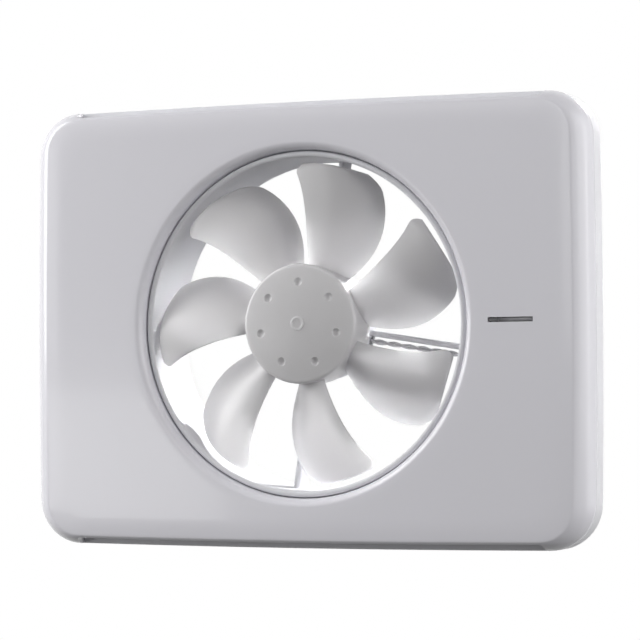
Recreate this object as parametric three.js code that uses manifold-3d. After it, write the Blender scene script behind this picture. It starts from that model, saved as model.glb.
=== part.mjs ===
// Compact wall and window exhaust fan: a crowned front cover over a shallow base frame, an open duct tube
// through the middle and a seven-blade axial impeller on an external-rotor motor.
// Millimetres. X is right, Z is up, and the front faces -Y.
// The origin is on the duct axis, in the wall plane.

import * as THREE from 'three';
import { mergeVertices } from 'three/addons/utils/BufferGeometryUtils.js';
import Module from 'manifold-3d';

const wasm = await Module();
wasm.setup();

// ---------- driving dimensions ----------

const GAP = 0.3; // left between pieces that seat on each other

// facets round a full circle: the inlet and duct, the hub and motor, and small pins and screws
const LARGE_ROUND = 40;
const MEDIUM_ROUND = 24;
const SMALL_ROUND = 10;

const cover = {
  width: 214.5,
  height: 159.5,
  cornerRadius: 16,
  faceCornerRadius: 11.5,
  bow: 0.85, // how far each edge bulges at its middle
  standOff: 16, // wall plane to front face
  partingDepth: 8, // front face to the line where the base frame begins
  edgeRoundSide: 6.9, // how far the face stands in from the left and right outline
  edgeRoundTop: 3.45,
  shoulderWidth: 4.7, // gently falling band round the flat face
  shoulderDrop: 0.4,
  wall: 2.2,
  lipWidth: 3.1, // how far the air inlet curves in
  lipDepth: 4,
  collarLength: 2.4,
  collarWall: 1.7,
};

const channel = { endInset: 17.25, lip: 1.3, depth: 3.4, floor: 1.8 }; // grip channels, top and bottom

// indicator slot in the flat strip right of the inlet; the shares are of that strip's width
const slot = { lengthShare: 0.461, middleShare: 0.3734, height: 1.7, z: 2 };
const window = { recess: 0.35, rim: 1.5, rimThickness: 1.2 };

const duct = {
  innerRadius: 59.4,
  wall: 2.1,
  front: -12.6,
  back: 16,
  flangeWidth: 5,
  flangeThickness: 2,
  beadHeight: 0.5,
  collarGap: 0.4, // to the cover's collar
};

const strut = { count: 4, firstAngle: -9, thickness: 2.2, front: 2.2, back: 11 };
// the motor plate inside the duct tube, with a rim behind it that the cap closes
const plate = { radius: 20, front: 1.6, thickness: 2.6, rim: 1.4, rimHeight: 4.6 };

const impeller = {
  blades: 7,
  tipClearance: 2.1, // to the duct tube
  hubRadius: 21.3,
  hubWall: 2,
  hubRim: -15.4,
  hubBack: -0.8,
  domeHeight: 2.1,
  rimRound: 1.3,
  firstBladeAngle: 118.6,
  bladeMid: -6.3,
  rootChord: 15.3,
  chordGrowth: 37.4,
  chordFall: 21.3,
  rootPitch: 36.6,
  tipPitch: 18.1,
  sweepLinear: -4.9,
  sweepCurve: 16.8,
  camber: 3.45,
  thicknessMid: 1.9,
  thicknessEdge: 0.8,
  dimpleCircle: 15,
  dimpleRadius: 1.9,
  dimpleDepth: 0.8,
  eyeletBore: 1.6,
  eyeletRadius: 2.6,
  eyeletHeight: 0.35,
};

const motor = {
  cupWall: 1,
  magnetThickness: 2.6,
  airGap: 0.6,
  cupBack: -1.6,
  coreFront: -10,
  coreBack: -3,
  teeth: 6,
  toothWidth: 3,
  toothTip: 1.6,
  coilWall: 1.3,
  coilEnd: 1.2,
  tubeRadius: 5.2,
  tubeBore: 4,
  bearingLength: 3,
  shaftRadius: 1.5,
  boardRadius: 13.5,
  boardThickness: 1.2,
};

const base = {
  wall: 2.2,
  plateThickness: 2.5,
  holeGap: 0.4,
  ribs: 5,
  ribPitch: 15,
  ribHeight: 2.2,
  ribThickness: 1.2,
};

// insets are measured in from the left or right edge and from the top or bottom edge of the cover
const lug = { reach: 9.5, radius: 5, angle: 50 }; // one in each quarter, this far from the X axis
const keyhole = { insetX: 10.25, insetZ: 13.75, headRadius: 4, shankRadius: 2.2, drop: 5 };
const clip = { insetX: 41.25, insetZ: 11.75, width: 4, leg: 5.6, sheet: 0.6 };
const tongue = { width: 5, thickness: 1.6, back: -4.6 };
const gasket = { clearance: 1.3, width: 7.2, thickness: 1.1 };

// the wiring bay right of the duct: cable entry, cable clamp above it, control board above that
const entry = { insetZ: 25.75, radius: 6, bore: 3.4, neck: 4.6, brim: 1.8, brimThickness: 1, collar: 2.6 };
const clamp = {
  rise: 12.5,
  width: 22,
  height: 5.4,
  thickness: 2.4,
  front: -9,
  screwInset: 3.5,
  saddle: 3.4,
};
const board = { width: 22, topInset: 39.75, clampGap: 4.8, thickness: 1.6, back: -5 };
const post = { radius: 2.6, insetX: 3.5, insetZ: 5 };

// parts on the board: shift is right of its middle, drop is down from its top edge, rise is up from its foot
const terminal = { width: 14, height: 9, depth: 5.6, shift: 3.5, rise: 7, ways: 3, screwRise: 1.6 };
const powerModule = { width: 10, height: 18, depth: 5, shift: 5, drop: 22 };
const capacitor = { radius: 2.9, length: 12, shift: -6, drop: 22 };
const lamp = { width: 4, height: 2.4, depth: 3.2 };
const sensor = { width: 7, height: 6, depth: 3.4, shift: 5, drop: 42 };
const socket = {
  width: 6,
  height: 8,
  depth: 4.6,
  wall: 0.6,
  shift: -7.5,
  rise: 21,
  pocket: 2.2,
  pocketHeight: 4.6,
};

const lead = { radius: 1.1, clearance: 0.4 };
const screw = { headRadius: 2.7, headHeight: 1.5, shankRadius: 1.3 };

// ---------- worked out from the driving dimensions ----------

const halfWidth = cover.width / 2;
const halfHeight = cover.height / 2;
const faceY = -cover.standOff;
const partingY = faceY + cover.partingDepth;
const collarBack = faceY + cover.lipDepth + cover.collarLength;
const ductOuter = duct.innerRadius + duct.wall;
const throatRadius = ductOuter + duct.collarGap;
const mouthRadius = throatRadius + cover.lipWidth;
const tipRadius = duct.innerRadius - impeller.tipClearance;
const plateFront = -base.plateThickness;
const flangeBack = plateFront - GAP;
const flangeFront = flangeBack - duct.flangeThickness;
const cupRadius = impeller.hubRadius - impeller.hubWall - GAP;
const cupFront = impeller.hubRim + impeller.hubWall + GAP;
const magnetOuter = cupRadius - motor.cupWall - GAP;
const magnetInner = magnetOuter - motor.magnetThickness;
const coreRadius = magnetInner - motor.airGap;
const plateBack = plate.front + plate.thickness;
const leadDepth = plateBack + lead.radius + GAP;

const gasketInner = ductOuter + gasket.clearance;
const gasketOuter = gasketInner + gasket.width;
const lugCircle = ductOuter + lug.reach;

const faceStrip = halfWidth - cover.edgeRoundSide - mouthRadius;
const slotX = mouthRadius + slot.middleShare * faceStrip;
const slotLength = slot.lengthShare * faceStrip;

const bayInner = ductOuter + duct.flangeWidth;
const bayOuter = halfWidth - base.wall - cover.bow;
const bayX = (bayInner + bayOuter) / 2;
const entryZ = entry.insetZ - halfHeight;
const clampZ = entryZ + clamp.rise;
const boardFoot = clampZ + clamp.height / 2 + board.clampGap;
const boardTop = halfHeight - board.topInset;
const boardZ = (boardFoot + boardTop) / 2;
const boardHeight = boardTop - boardFoot;
const boardFront = board.back - board.thickness;
const partsBack = boardFront - GAP;
const terminalX = bayX + terminal.shift;
const terminalZ = boardFoot + terminal.rise;
const terminalPitch = terminal.width / terminal.ways;
const socketX = bayX + socket.shift;
const socketZ = boardFoot + socket.rise;
const clipX = halfWidth - clip.insetX;
const clipZ = halfHeight - clip.insetZ;
const screwHole = screw.shankRadius + GAP;

// ---------- geometry helpers ----------

const radians = THREE.MathUtils.degToRad;

/** A closed three.js geometry as a solid that can be joined and cut. */
function solidOf(geometry) {
  const bare = geometry.clone();
  bare.deleteAttribute('normal');
  bare.deleteAttribute('uv');
  const merged = mergeVertices(bare, 1e-4);
  const source = merged.index.array;
  const triVerts = [];
  for (let i = 0; i < source.length; i += 3) {
    const [a, b, c] = [source[i], source[i + 1], source[i + 2]];
    if (a !== b && b !== c && c !== a) triVerts.push(a, b, c);
  }
  const vertProperties = new Float32Array(merged.attributes.position.array);
  return new wasm.Manifold(
    new wasm.Mesh({ numProp: 3, vertProperties, triVerts: new Uint32Array(triVerts) })
  );
}

function geometryOf(solid) {
  const mesh = solid.getMesh();
  const geometry = new THREE.BufferGeometry();
  geometry.setAttribute('position', new THREE.BufferAttribute(new Float32Array(mesh.vertProperties), 3));
  geometry.setIndex(new THREE.BufferAttribute(new Uint32Array(mesh.triVerts), 1));
  geometry.computeVertexNormals();
  return geometry;
}

const joined = (...solids) => solids.reduce((sum, next) => sum.add(next));
const cutFrom = (solid, cutters) => cutters.reduce((rest, cutter) => rest.subtract(cutter), solid);

/** A turned solid about the duct axis from [radius, y] pairs; off the axis the profile closes on itself. */
function turned(profile, segments = MEDIUM_ROUND) {
  const points = profile.map(([radius, y]) => new THREE.Vector2(radius, y));
  const first = points[0];
  const onAxis = first.x === 0;
  if (!onAxis) points.push(first.clone());
  if (THREE.ShapeUtils.area(points) < 0) points.reverse();
  return solidOf(new THREE.LatheGeometry(points, segments));
}

/** A ring, or a disc when the inner radius is 0, between two depths. */
function ring(inner, outer, front, back, segments = MEDIUM_ROUND) {
  return turned([[inner, front], [outer, front], [outer, back], [inner, back]], segments);
}

/** A pin along Y at x, z. */
function pin(x, z, radius, front, back, segments = SMALL_ROUND) {
  const geometry = new THREE.CylinderGeometry(radius, radius, back - front, segments);
  return solidOf(geometry.translate(x, (front + back) / 2, z));
}

/** A block centred on x, z that runs from front to back in depth. */
function block(x, z, width, height, front, back) {
  const geometry = new THREE.BoxGeometry(width, back - front, height);
  return solidOf(geometry.translate(x, (front + back) / 2, z));
}

/** A flat shape drawn in X and Z, extruded in depth. */
function slab(shape, front, back) {
  const geometry = new THREE.ExtrudeGeometry(shape, {
    depth: back - front,
    bevelEnabled: false,
    curveSegments: 4,
  });
  return solidOf(geometry.rotateX(Math.PI / 2).translate(0, back, 0));
}

/** A solid through equal-length rings of points, flat at both ends. */
function lofted(rings) {
  const count = rings[0].length;
  const positions = rings.flat().flatMap((point) => [point.x, point.y, point.z]);
  const index = [];
  const quad = (a, b, c, d) => index.push(a, b, c, a, c, d);
  for (let k = 0; k + 1 < rings.length; k++) {
    for (let i = 0; i < count; i++) {
      const next = (i + 1) % count;
      quad(k * count + i, k * count + next, (k + 1) * count + next, (k + 1) * count + i);
    }
  }
  const last = (rings.length - 1) * count;
  for (let i = 0; i < count / 2 - 1; i++) {
    quad(count - 1 - i, count - 2 - i, i + 1, i);
    quad(last + i, last + i + 1, last + count - 2 - i, last + count - 1 - i);
  }
  const geometry = new THREE.BufferGeometry();
  geometry.setAttribute('position', new THREE.Float32BufferAttribute(positions, 3));
  geometry.setIndex(index);
  const solid = solidOf(geometry);
  if (solid.volume() > 0) return solid;
  geometry.setIndex(index.reverse());
  return solidOf(geometry);
}

const polar = (radius, degrees) => [radius * Math.cos(radians(degrees)), radius * Math.sin(radians(degrees))];

// ---------- the outline shared by cover and base frame ----------

const CORNER_STEPS = 5;
const SIDE_STEPS = 4;

/** Points of the crowned, round-cornered outline at depth y, inset from the largest outline. */
function outlineAt(y, insetSide, insetTop, cornerRadius) {
  const reachX = halfWidth - insetSide;
  const reachZ = halfHeight - insetTop;
  const points = [];
  for (const [sideX, sideZ, start] of [[1, 1, 0], [-1, 1, 90], [-1, -1, 180], [1, -1, 270]]) {
    const centreX = sideX * (reachX - cornerRadius);
    const centreZ = sideZ * (reachZ - cornerRadius);
    for (let i = 0; i <= CORNER_STEPS; i++) {
      const [dx, dz] = polar(cornerRadius, start + (90 * i) / CORNER_STEPS);
      points.push([centreX + dx, centreZ + dz]);
    }
    // the straight side that follows this corner, counter-clockwise
    const [runX, runZ] = sideX === sideZ ? [-2 * centreX, 0] : [0, -2 * centreZ];
    const [lastX, lastZ] = points[points.length - 1];
    for (let i = 1; i < SIDE_STEPS; i++) {
      points.push([lastX + (runX * i) / SIDE_STEPS, lastZ + (runZ * i) / SIDE_STEPS]);
    }
  }
  return points.map(([x, z]) => {
    const bowedX = x * (1 - (cover.bow / reachX) * (z / reachZ) ** 2);
    const bowedZ = z * (1 - (cover.bow / reachZ) * (x / reachX) ** 2);
    return new THREE.Vector3(bowedX, y, bowedZ);
  });
}

/** The cover's rounded body, or the space inside it when a wall is given. */
function coverBody(wall, back, steps = 6) {
  const roundSide = cover.edgeRoundSide - wall;
  const roundTop = Math.max(cover.edgeRoundTop - wall, 0.6);
  const front = faceY + wall;
  const roundStart = front + cover.shoulderDrop;
  const rings = [outlineAt(back, wall, wall, cover.cornerRadius - wall)];
  for (let i = steps; i >= 0; i--) {
    const angle = radians((90 * i) / steps);
    const inward = 1 - Math.sin(angle);
    const corner = cover.cornerRadius - wall - (cover.cornerRadius - cover.faceCornerRadius) * inward;
    const y = roundStart + roundSide * (1 - Math.cos(angle));
    rings.push(outlineAt(y, wall + roundSide * inward, wall + roundTop * inward, corner));
  }
  const shoulder = cover.shoulderWidth;
  rings.push(
    outlineAt(front, wall + roundSide + shoulder, wall + roundTop + shoulder, cover.faceCornerRadius - wall)
  );
  return lofted(rings);
}

// ---------- front cover ----------

/** The rolled inlet lip and the collar that slips over the duct tube. */
function inletLip() {
  const profile = [[mouthRadius + cover.wall, faceY]];
  const reach = mouthRadius - throatRadius;
  const lipEnd = faceY + cover.lipDepth;
  const steps = 5;
  for (let i = 0; i <= steps; i++) {
    const angle = radians((90 * i) / steps);
    profile.push([mouthRadius - reach * Math.sin(angle), lipEnd - cover.lipDepth * Math.cos(angle)]);
  }
  profile.push([throatRadius, collarBack]);
  profile.push([throatRadius + cover.collarWall, collarBack]);
  profile.push([throatRadius + cover.collarWall, lipEnd]);
  profile.push([mouthRadius + cover.wall, faceY + cover.wall]);
  return turned(profile, LARGE_ROUND);
}

/** One grip channel: a long notch behind the face's edge, with round ends. */
function gripChannel(sign, grow) {
  const depth = channel.depth + grow;
  const half = halfWidth - channel.endInset + grow;
  const edge = halfHeight + 1;
  const floor = halfHeight - depth;
  const shape = new THREE.Shape();
  shape.moveTo(-half, edge);
  shape.lineTo(-half, floor + depth / 2);
  shape.quadraticCurveTo(-half, floor, -half + depth, floor);
  shape.lineTo(half - depth, floor);
  shape.quadraticCurveTo(half, floor, half, floor + depth / 2);
  shape.lineTo(half, edge);
  shape.closePath();
  const front = faceY + channel.lip;
  const solid = slab(shape, front, partingY + 1);
  return sign > 0 ? solid : solidOf(geometryOf(solid).rotateY(Math.PI));
}

function coverTongues() {
  const solids = [];
  for (const x of [-clipX, clipX]) {
    for (const z of [-clipZ, clipZ]) {
      solids.push(block(x, z, tongue.width, tongue.thickness, faceY + cover.wall / 2, tongue.back));
    }
  }
  return solids;
}

function frontCover() {
  const shell = coverBody(0, partingY).subtract(coverBody(cover.wall, partingY + 1, 3));
  const mouth = ring(0, mouthRadius + cover.wall / 2, faceY - 1, partingY + 1, LARGE_ROUND);
  // the channels have a floor and a rear lip of their own, so the shell stays closed behind them
  const linings = [1, -1].map((sign) => gripChannel(sign, channel.floor).intersect(coverBody(0, partingY)));
  const channels = [1, -1].map((sign) => gripChannel(sign, 0));
  const opening = block(slotX, slot.z, slotLength, slot.height, faceY - 1, faceY + cover.wall + 1);
  const body = joined(shell.subtract(mouth), inletLip(), ...linings, ...coverTongues());
  return cutFrom(body, [...channels, opening]);
}

/** The smoked strip that fills the indicator slot from behind. */
function indicatorWindow() {
  const seat = faceY + cover.wall + GAP;
  const inSlot = [slotLength - 2 * GAP, slot.height - 2 * GAP];
  const behind = [slotLength + 2 * window.rim, slot.height + 2 * window.rim];
  const strip = block(slotX, slot.z, ...inSlot, faceY + window.recess, seat);
  return strip.add(block(slotX, slot.z, ...behind, seat, seat + window.rimThickness));
}

// ---------- base frame ----------

function keyholeCutter(sideX, sideZ) {
  const x = sideX * (halfWidth - keyhole.insetX);
  const z = sideZ * (halfHeight - keyhole.insetZ);
  return joined(
    pin(x, z - keyhole.drop, keyhole.headRadius, plateFront - 1, 1),
    pin(x, z, keyhole.shankRadius, plateFront - 1, 1),
    block(x, z - keyhole.drop / 2, 2 * keyhole.shankRadius, keyhole.drop, plateFront - 1, 1)
  );
}

function boardPosts() {
  const dx = board.width / 2 - post.insetX;
  const dz = boardHeight / 2 - post.insetZ;
  return [[dx, dz], [-dx, dz], [dx, -dz], [-dx, -dz]].map(([x, z]) => [bayX + x, boardZ + z]);
}

/** Low stiffening ribs from the duct hole to the left wall. */
function baseRibs() {
  const ribs = [];
  const near = gasketOuter + 1;
  const far = halfWidth - base.wall;
  const front = plateFront - base.ribHeight;
  for (let i = 0; i < base.ribs; i++) {
    const z = (i - (base.ribs - 1) / 2) * base.ribPitch;
    ribs.push(block(-(near + far) / 2, z, far - near, base.ribThickness, front, plateFront + 1));
  }
  return ribs;
}

function baseFrame() {
  const front = partingY + GAP;
  const full = [front, 0].map((y) => outlineAt(y, 0, 0, cover.cornerRadius));
  const hollowFront = front - 1;
  const hollow = [hollowFront, plateFront].map((y) =>
    outlineAt(y, base.wall, base.wall, cover.cornerRadius - base.wall)
  );
  const posts = boardPosts().map(([x, z]) => pin(x, z, post.radius, board.back + GAP, plateFront + 1));
  const clampSeat = clamp.front + clamp.thickness + GAP;
  const clampPosts = clampScrews.map(([x, z]) => pin(x, z, post.radius, clampSeat, plateFront + 1));
  const body = joined(lofted(full).subtract(lofted(hollow)), ...posts, ...clampPosts, ...baseRibs());
  const holes = [
    ring(0, ductOuter + base.holeGap, front - 2, 1, LARGE_ROUND),
    ring(gasketInner - GAP, gasketOuter + GAP, -gasket.thickness - GAP, 1, LARGE_ROUND),
    pin(bayX, entryZ, entry.radius + GAP, plateFront - 1, 1, MEDIUM_ROUND),
    leadRun(lead.radius + lead.clearance),
    ...ductScrews.map(([x, z]) => pin(x, z, screwHole, plateFront - 1, 1)),
    ...boardScrews.map(([x, z]) => pin(x, z, screwHole, board.back - 1, plateFront + 1.5)),
    ...clampScrews.map(([x, z]) => pin(x, z, screwHole, clamp.front - 1, plateFront + 1.5)),
  ];
  for (const sideX of [-1, 1]) {
    for (const sideZ of [-1, 1]) holes.push(keyholeCutter(sideX, sideZ));
  }
  return cutFrom(body, holes);
}

const lugAngles = [lug.angle, 180 - lug.angle, 180 + lug.angle, 360 - lug.angle];
const ductScrews = lugAngles.map((angle) => polar(lugCircle, angle));
const [upperRightPost, , , lowerLeftPost] = boardPosts();
const boardScrews = [upperRightPost, lowerLeftPost];
const clampScrews = [-1, 1].map((side) => [bayX + side * (clamp.width / 2 - clamp.screwInset), clampZ]);

/** A pan-head screw with a cross recess, its head seated at y = seat and its shank running back. */
function panScrew([x, z], seat, length) {
  const head = screw.headHeight;
  const front = seat - head;
  const profile = [
    [0, front],
    [screw.headRadius * 0.6, front],
    [screw.headRadius, seat - head * 0.45],
    [screw.headRadius, seat],
    [screw.shankRadius, seat],
    [screw.shankRadius, seat + length - 0.5],
    [screw.shankRadius - 0.5, seat + length],
    [0, seat + length],
  ];
  const body = turned(profile, SMALL_ROUND);
  const reach = screw.headRadius * 1.1;
  const slit = 0.55;
  const recess = [[reach, slit], [slit, reach]].map(([w, h]) => block(0, 0, w, h, front - 0.7, front + 0.7));
  return cutFrom(body, recess).translate([x, 0, z]);
}

// ---------- duct tube with struts and motor plate ----------

function ductTube() {
  const bead = duct.back - 3.5;
  const lipRound = duct.wall / 2;
  const profile = [[duct.innerRadius, duct.front + lipRound]];
  for (let i = 1; i <= 4; i++) {
    const angle = radians(180 - 45 * i);
    profile.push([
      duct.innerRadius + lipRound + lipRound * Math.cos(angle),
      duct.front + lipRound - lipRound * Math.sin(angle),
    ]);
  }
  profile.push([ductOuter, flangeFront], [ductOuter + duct.flangeWidth, flangeFront]);
  profile.push([ductOuter + duct.flangeWidth, flangeBack], [ductOuter, flangeBack]);
  profile.push([ductOuter, bead - 1], [ductOuter + duct.beadHeight, bead], [ductOuter, bead + 1]);
  profile.push([ductOuter, duct.back], [duct.innerRadius + 0.6, duct.back]);
  profile.push([duct.innerRadius, duct.back - 0.9]);
  const tube = turned(profile, LARGE_ROUND);
  const struts = [];
  for (let i = 0; i < strut.count; i++) {
    const inner = plate.radius - 1.5;
    const outer = duct.innerRadius + duct.wall / 2;
    const vane = new THREE.BoxGeometry(outer - inner, strut.back - strut.front, strut.thickness);
    vane.translate((outer + inner) / 2, (strut.front + strut.back) / 2, 0);
    struts.push(solidOf(vane.rotateY(radians(-(strut.firstAngle + (360 / strut.count) * i)))));
  }
  const plateRing = turned([
    [motor.tubeRadius + GAP, plate.front],
    [plate.radius, plate.front],
    [plate.radius, plateBack + plate.rimHeight],
    [plate.radius - plate.rim, plateBack + plate.rimHeight],
    [plate.radius - plate.rim, plateBack],
    [motor.tubeRadius + GAP, plateBack],
  ]);
  const lugs = ductScrews.map(([x, z]) => {
    const reach = Math.hypot(x, z);
    const arm = new THREE.BoxGeometry(reach - ductOuter, duct.flangeThickness, 2 * lug.radius);
    arm.translate((reach + ductOuter) / 2, (flangeFront + flangeBack) / 2, 0).rotateY(-Math.atan2(z, x));
    return solidOf(arm).add(pin(x, z, lug.radius, flangeFront, flangeBack, MEDIUM_ROUND / 2));
  });
  const holes = ductScrews.map(([x, z]) => pin(x, z, screwHole, flangeFront - 1, flangeBack + 1));
  holes.push(leadRun(lead.radius + lead.clearance));
  return cutFrom(joined(tube, plateRing, ...struts, ...lugs), holes);
}

// ---------- impeller ----------

/** One ring of points round the blade's section at a share t of its span. */
function bladeSection(t, rootRadius, chordSteps) {
  const radius = THREE.MathUtils.lerp(rootRadius, tipRadius, t);
  const roundOff = t > 0.9 ? 1 - 0.25 * ((t - 0.9) / 0.1) ** 2 : 1;
  const chord = (impeller.rootChord + impeller.chordGrowth * t - impeller.chordFall * t * t) * roundOff;
  const pitch = radians(THREE.MathUtils.lerp(impeller.rootPitch, impeller.tipPitch, t));
  const middle = radians(impeller.sweepLinear * t + impeller.sweepCurve * t * t);
  const side = (u, sign) => {
    const thickness = impeller.thicknessEdge + (impeller.thicknessMid - impeller.thicknessEdge) * (1 - u * u);
    const h = (sign * thickness) / 2;
    const around = (u * chord * Math.cos(pitch)) / 2 - h * Math.sin(pitch);
    const axial = (u * chord * Math.sin(pitch)) / 2 + h * Math.cos(pitch) - impeller.camber * (1 - u * u);
    const angle = middle - around / radius;
    return new THREE.Vector3(radius * Math.cos(angle), impeller.bladeMid + axial, radius * Math.sin(angle));
  };
  const points = [];
  for (let i = 0; i <= chordSteps; i++) points.push(side(-1 + (2 * i) / chordSteps, -1));
  for (let i = chordSteps; i >= 0; i--) points.push(side(-1 + (2 * i) / chordSteps, 1));
  return points;
}

function blade(angle) {
  const rootRadius = impeller.hubRadius - impeller.hubWall / 2;
  const spans = [0, 0.17, 0.36, 0.56, 0.76, 0.9, 1];
  const rings = spans.map((t) => bladeSection(t, rootRadius, 5));
  return solidOf(geometryOf(lofted(rings)).rotateY(-radians(angle)));
}

const domeAt = (radius) => impeller.hubRim - impeller.domeHeight * (1 - (radius / impeller.hubRadius) ** 2);

function hub() {
  const flatEdge = impeller.hubRadius - impeller.rimRound;
  const profile = [[0, domeAt(0)]];
  for (let i = 1; i <= 3; i++) profile.push([(flatEdge * i) / 3, domeAt((flatEdge * i) / 3)]);
  const rimTop = domeAt(flatEdge);
  for (const angle of [45, 90]) {
    profile.push([
      flatEdge + impeller.rimRound * Math.sin(radians(angle)),
      rimTop + impeller.rimRound * (1 - Math.cos(radians(angle))),
    ]);
  }
  const inner = impeller.hubRadius - impeller.hubWall;
  const ceiling = impeller.hubRim + impeller.hubWall;
  profile.push([impeller.hubRadius, impeller.hubBack], [inner, impeller.hubBack]);
  profile.push([inner, ceiling], [0, ceiling]);
  const dimples = [];
  for (let i = 0; i < impeller.blades; i++) {
    const [x, z] = polar(impeller.dimpleCircle, 90 - (360 / impeller.blades) * i);
    const y = domeAt(impeller.dimpleCircle) + impeller.dimpleDepth - impeller.dimpleRadius;
    dimples.push(solidOf(new THREE.SphereGeometry(impeller.dimpleRadius, 7, 6).translate(x, y, z)));
  }
  const eyeletFront = domeAt(0) - impeller.eyeletHeight;
  const eyelet = ring(impeller.eyeletBore, impeller.eyeletRadius, eyeletFront, domeAt(0) + 1, SMALL_ROUND);
  return cutFrom(turned(profile, 6 * impeller.blades).add(eyelet), dimples);
}

function impellerWheel() {
  const blades = [];
  for (let i = 0; i < impeller.blades; i++) {
    blades.push(blade(impeller.firstBladeAngle - (360 / impeller.blades) * i));
  }
  return joined(hub(), ...blades);
}

// ---------- motor ----------

function rotorCup() {
  const inner = cupRadius - motor.cupWall;
  const floor = cupFront + motor.cupWall;
  const bore = motor.shaftRadius + GAP;
  return turned([
    [bore, cupFront],
    [cupRadius, cupFront],
    [cupRadius, motor.cupBack],
    [inner, motor.cupBack],
    [inner, floor],
    [3.4, floor],
    [3.4, floor + 0.9],
    [bore, floor + 0.9],
  ]);
}

function statorCore() {
  const hubOuter = motor.tubeRadius + GAP + 1.6;
  const depth = motor.coreBack - motor.coreFront;
  let core = ring(motor.tubeRadius + GAP, hubOuter, motor.coreFront, motor.coreBack);
  for (let i = 0; i < motor.teeth; i++) {
    const angle = (360 / motor.teeth) * i;
    const reach = coreRadius - 0.5;
    const tooth = new THREE.BoxGeometry(reach - hubOuter + 1, depth, motor.toothWidth);
    tooth.translate((reach + hubOuter - 1) / 2, (motor.coreFront + motor.coreBack) / 2, 0);
    const shoe = new THREE.Shape();
    const half = radians(180 / motor.teeth - 5);
    shoe.absarc(0, 0, coreRadius, -half, half, false);
    shoe.absarc(0, 0, coreRadius - motor.toothTip, half, -half, true);
    const shoeSolid = geometryOf(slab(shoe, motor.coreFront, motor.coreBack));
    core = core.add(solidOf(tooth.rotateY(-radians(angle)))).add(solidOf(shoeSolid.rotateY(-radians(angle))));
  }
  return core;
}

/** A plain wound coil round one stator tooth. */
function winding(angle) {
  const inner = motor.tubeRadius + GAP + 1.6 + GAP;
  const slotWidth = motor.toothWidth + 2 * GAP;
  const halfCoil = slotWidth / 2 + motor.coilWall;
  const outer = Math.sqrt((coreRadius - motor.toothTip) ** 2 - halfCoil ** 2) - GAP;
  const front = motor.coreFront - GAP;
  const back = motor.coreBack + GAP;
  const middle = (inner + outer) / 2;
  const height = outer - inner;
  const outside = block(middle, 0, height, 2 * halfCoil, front - motor.coilEnd, back + motor.coilEnd);
  const inside = block(middle, 0, height + 2, slotWidth, front, back);
  return solidOf(geometryOf(outside.subtract(inside)).rotateY(-radians(angle)));
}

function bearing(front) {
  const outer = motor.tubeBore - GAP;
  const inner = motor.shaftRadius + GAP;
  const back = front + motor.bearingLength;
  const groove = 0.25;
  return turned([
    [inner, front],
    [inner + 0.5, front],
    [(inner + outer) / 2, front + groove],
    [outer - 0.5, front],
    [outer, front],
    [outer, back],
    [inner, back],
  ], 14);
}

/** The disc that closes the motor plate from behind, over the lead. */
function motorCap() {
  const radius = plate.radius - plate.rim - 1.5 * GAP;
  const front = leadDepth + lead.radius + 2 * GAP;
  const rim = front + 1.2;
  const crown = front + 1.9;
  return turned([[0, front], [radius, front], [radius, rim], [radius / 4, crown], [0, crown]]);
}

const bearingTubeFront = motor.coreFront - 1.2;
const bearingTubeBack = plateBack - 0.4;

const LEAD_STEPS = 22;

/** The motor lead: along a strut, out through the tube in front of the wall plane, to the control board. */
function leadRun(radius) {
  const offset = strut.thickness / 2 + lead.clearance + lead.radius + 0.3;
  const outside = ductOuter + lead.radius + 0.6;
  const turn = (r, y, shift) => {
    const a = radians(strut.firstAngle);
    const x = r * Math.cos(a) + shift * Math.sin(a);
    return new THREE.Vector3(x, y, r * Math.sin(a) - shift * Math.cos(a));
  };
  const plug = new THREE.Vector3(socketX - socket.width / 2 + 1, partsBack - socket.depth / 2, socketZ);
  const route = [
    turn(plate.radius * 0.55, leadDepth, offset),
    turn(plate.radius + 4, leadDepth, offset),
    turn(duct.innerRadius - 8, leadDepth, offset),
    turn(duct.innerRadius - 1.9, leadDepth - 2.2, offset),
    turn(ductOuter - 0.6, 0.2, offset),
    turn(outside, flangeBack + 0.4, offset),
    turn(outside, flangeFront - 1.6, offset),
    turn(outside + 2, flangeFront - 3.4, offset),
    plug,
  ];
  const section = new THREE.Shape();
  section.absarc(0, 0, radius, 0, 2 * Math.PI, false);
  return solidOf(new THREE.ExtrudeGeometry(section, {
    steps: LEAD_STEPS,
    curveSegments: 4,
    bevelEnabled: false,
    extrudePath: new THREE.CatmullRomCurve3(route, false, 'centripetal'),
  }));
}

// ---------- control board side ----------

function controlBoard() {
  const sheet = block(bayX, boardZ, board.width, boardHeight, boardFront, board.back);
  const holes = boardPosts().map(([x, z]) => pin(x, z, screwHole, boardFront - 1, board.back + 1));
  return cutFrom(sheet, holes);
}

/** A block on the board's face, its middle at x, z. */
function onBoard(x, z, { width, height, depth }) {
  return block(x, z, width, height, partsBack - depth, partsBack);
}

/** A cylinder that lies along Z. */
function lyingPin(x, y, z, radius, length) {
  const geometry = new THREE.CylinderGeometry(radius, radius, length, 2 * SMALL_ROUND);
  return solidOf(geometry.rotateX(Math.PI / 2).translate(x, y, z));
}

function leadSocket() {
  const openSide = socketX - socket.width / 2;
  const front = partsBack - socket.depth + socket.wall;
  const back = partsBack - socket.wall;
  const pocket = block(openSide, socketZ, 2 * socket.pocket, socket.pocketHeight, front, back);
  return onBoard(socketX, socketZ, socket).subtract(pocket);
}

const terminalFront = partsBack - terminal.depth;
const screwWell = 3.2; // depth of the round well that each terminal screw sits in
const wayX = (i) => terminalX + (i - (terminal.ways - 1) / 2) * terminalPitch;

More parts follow.
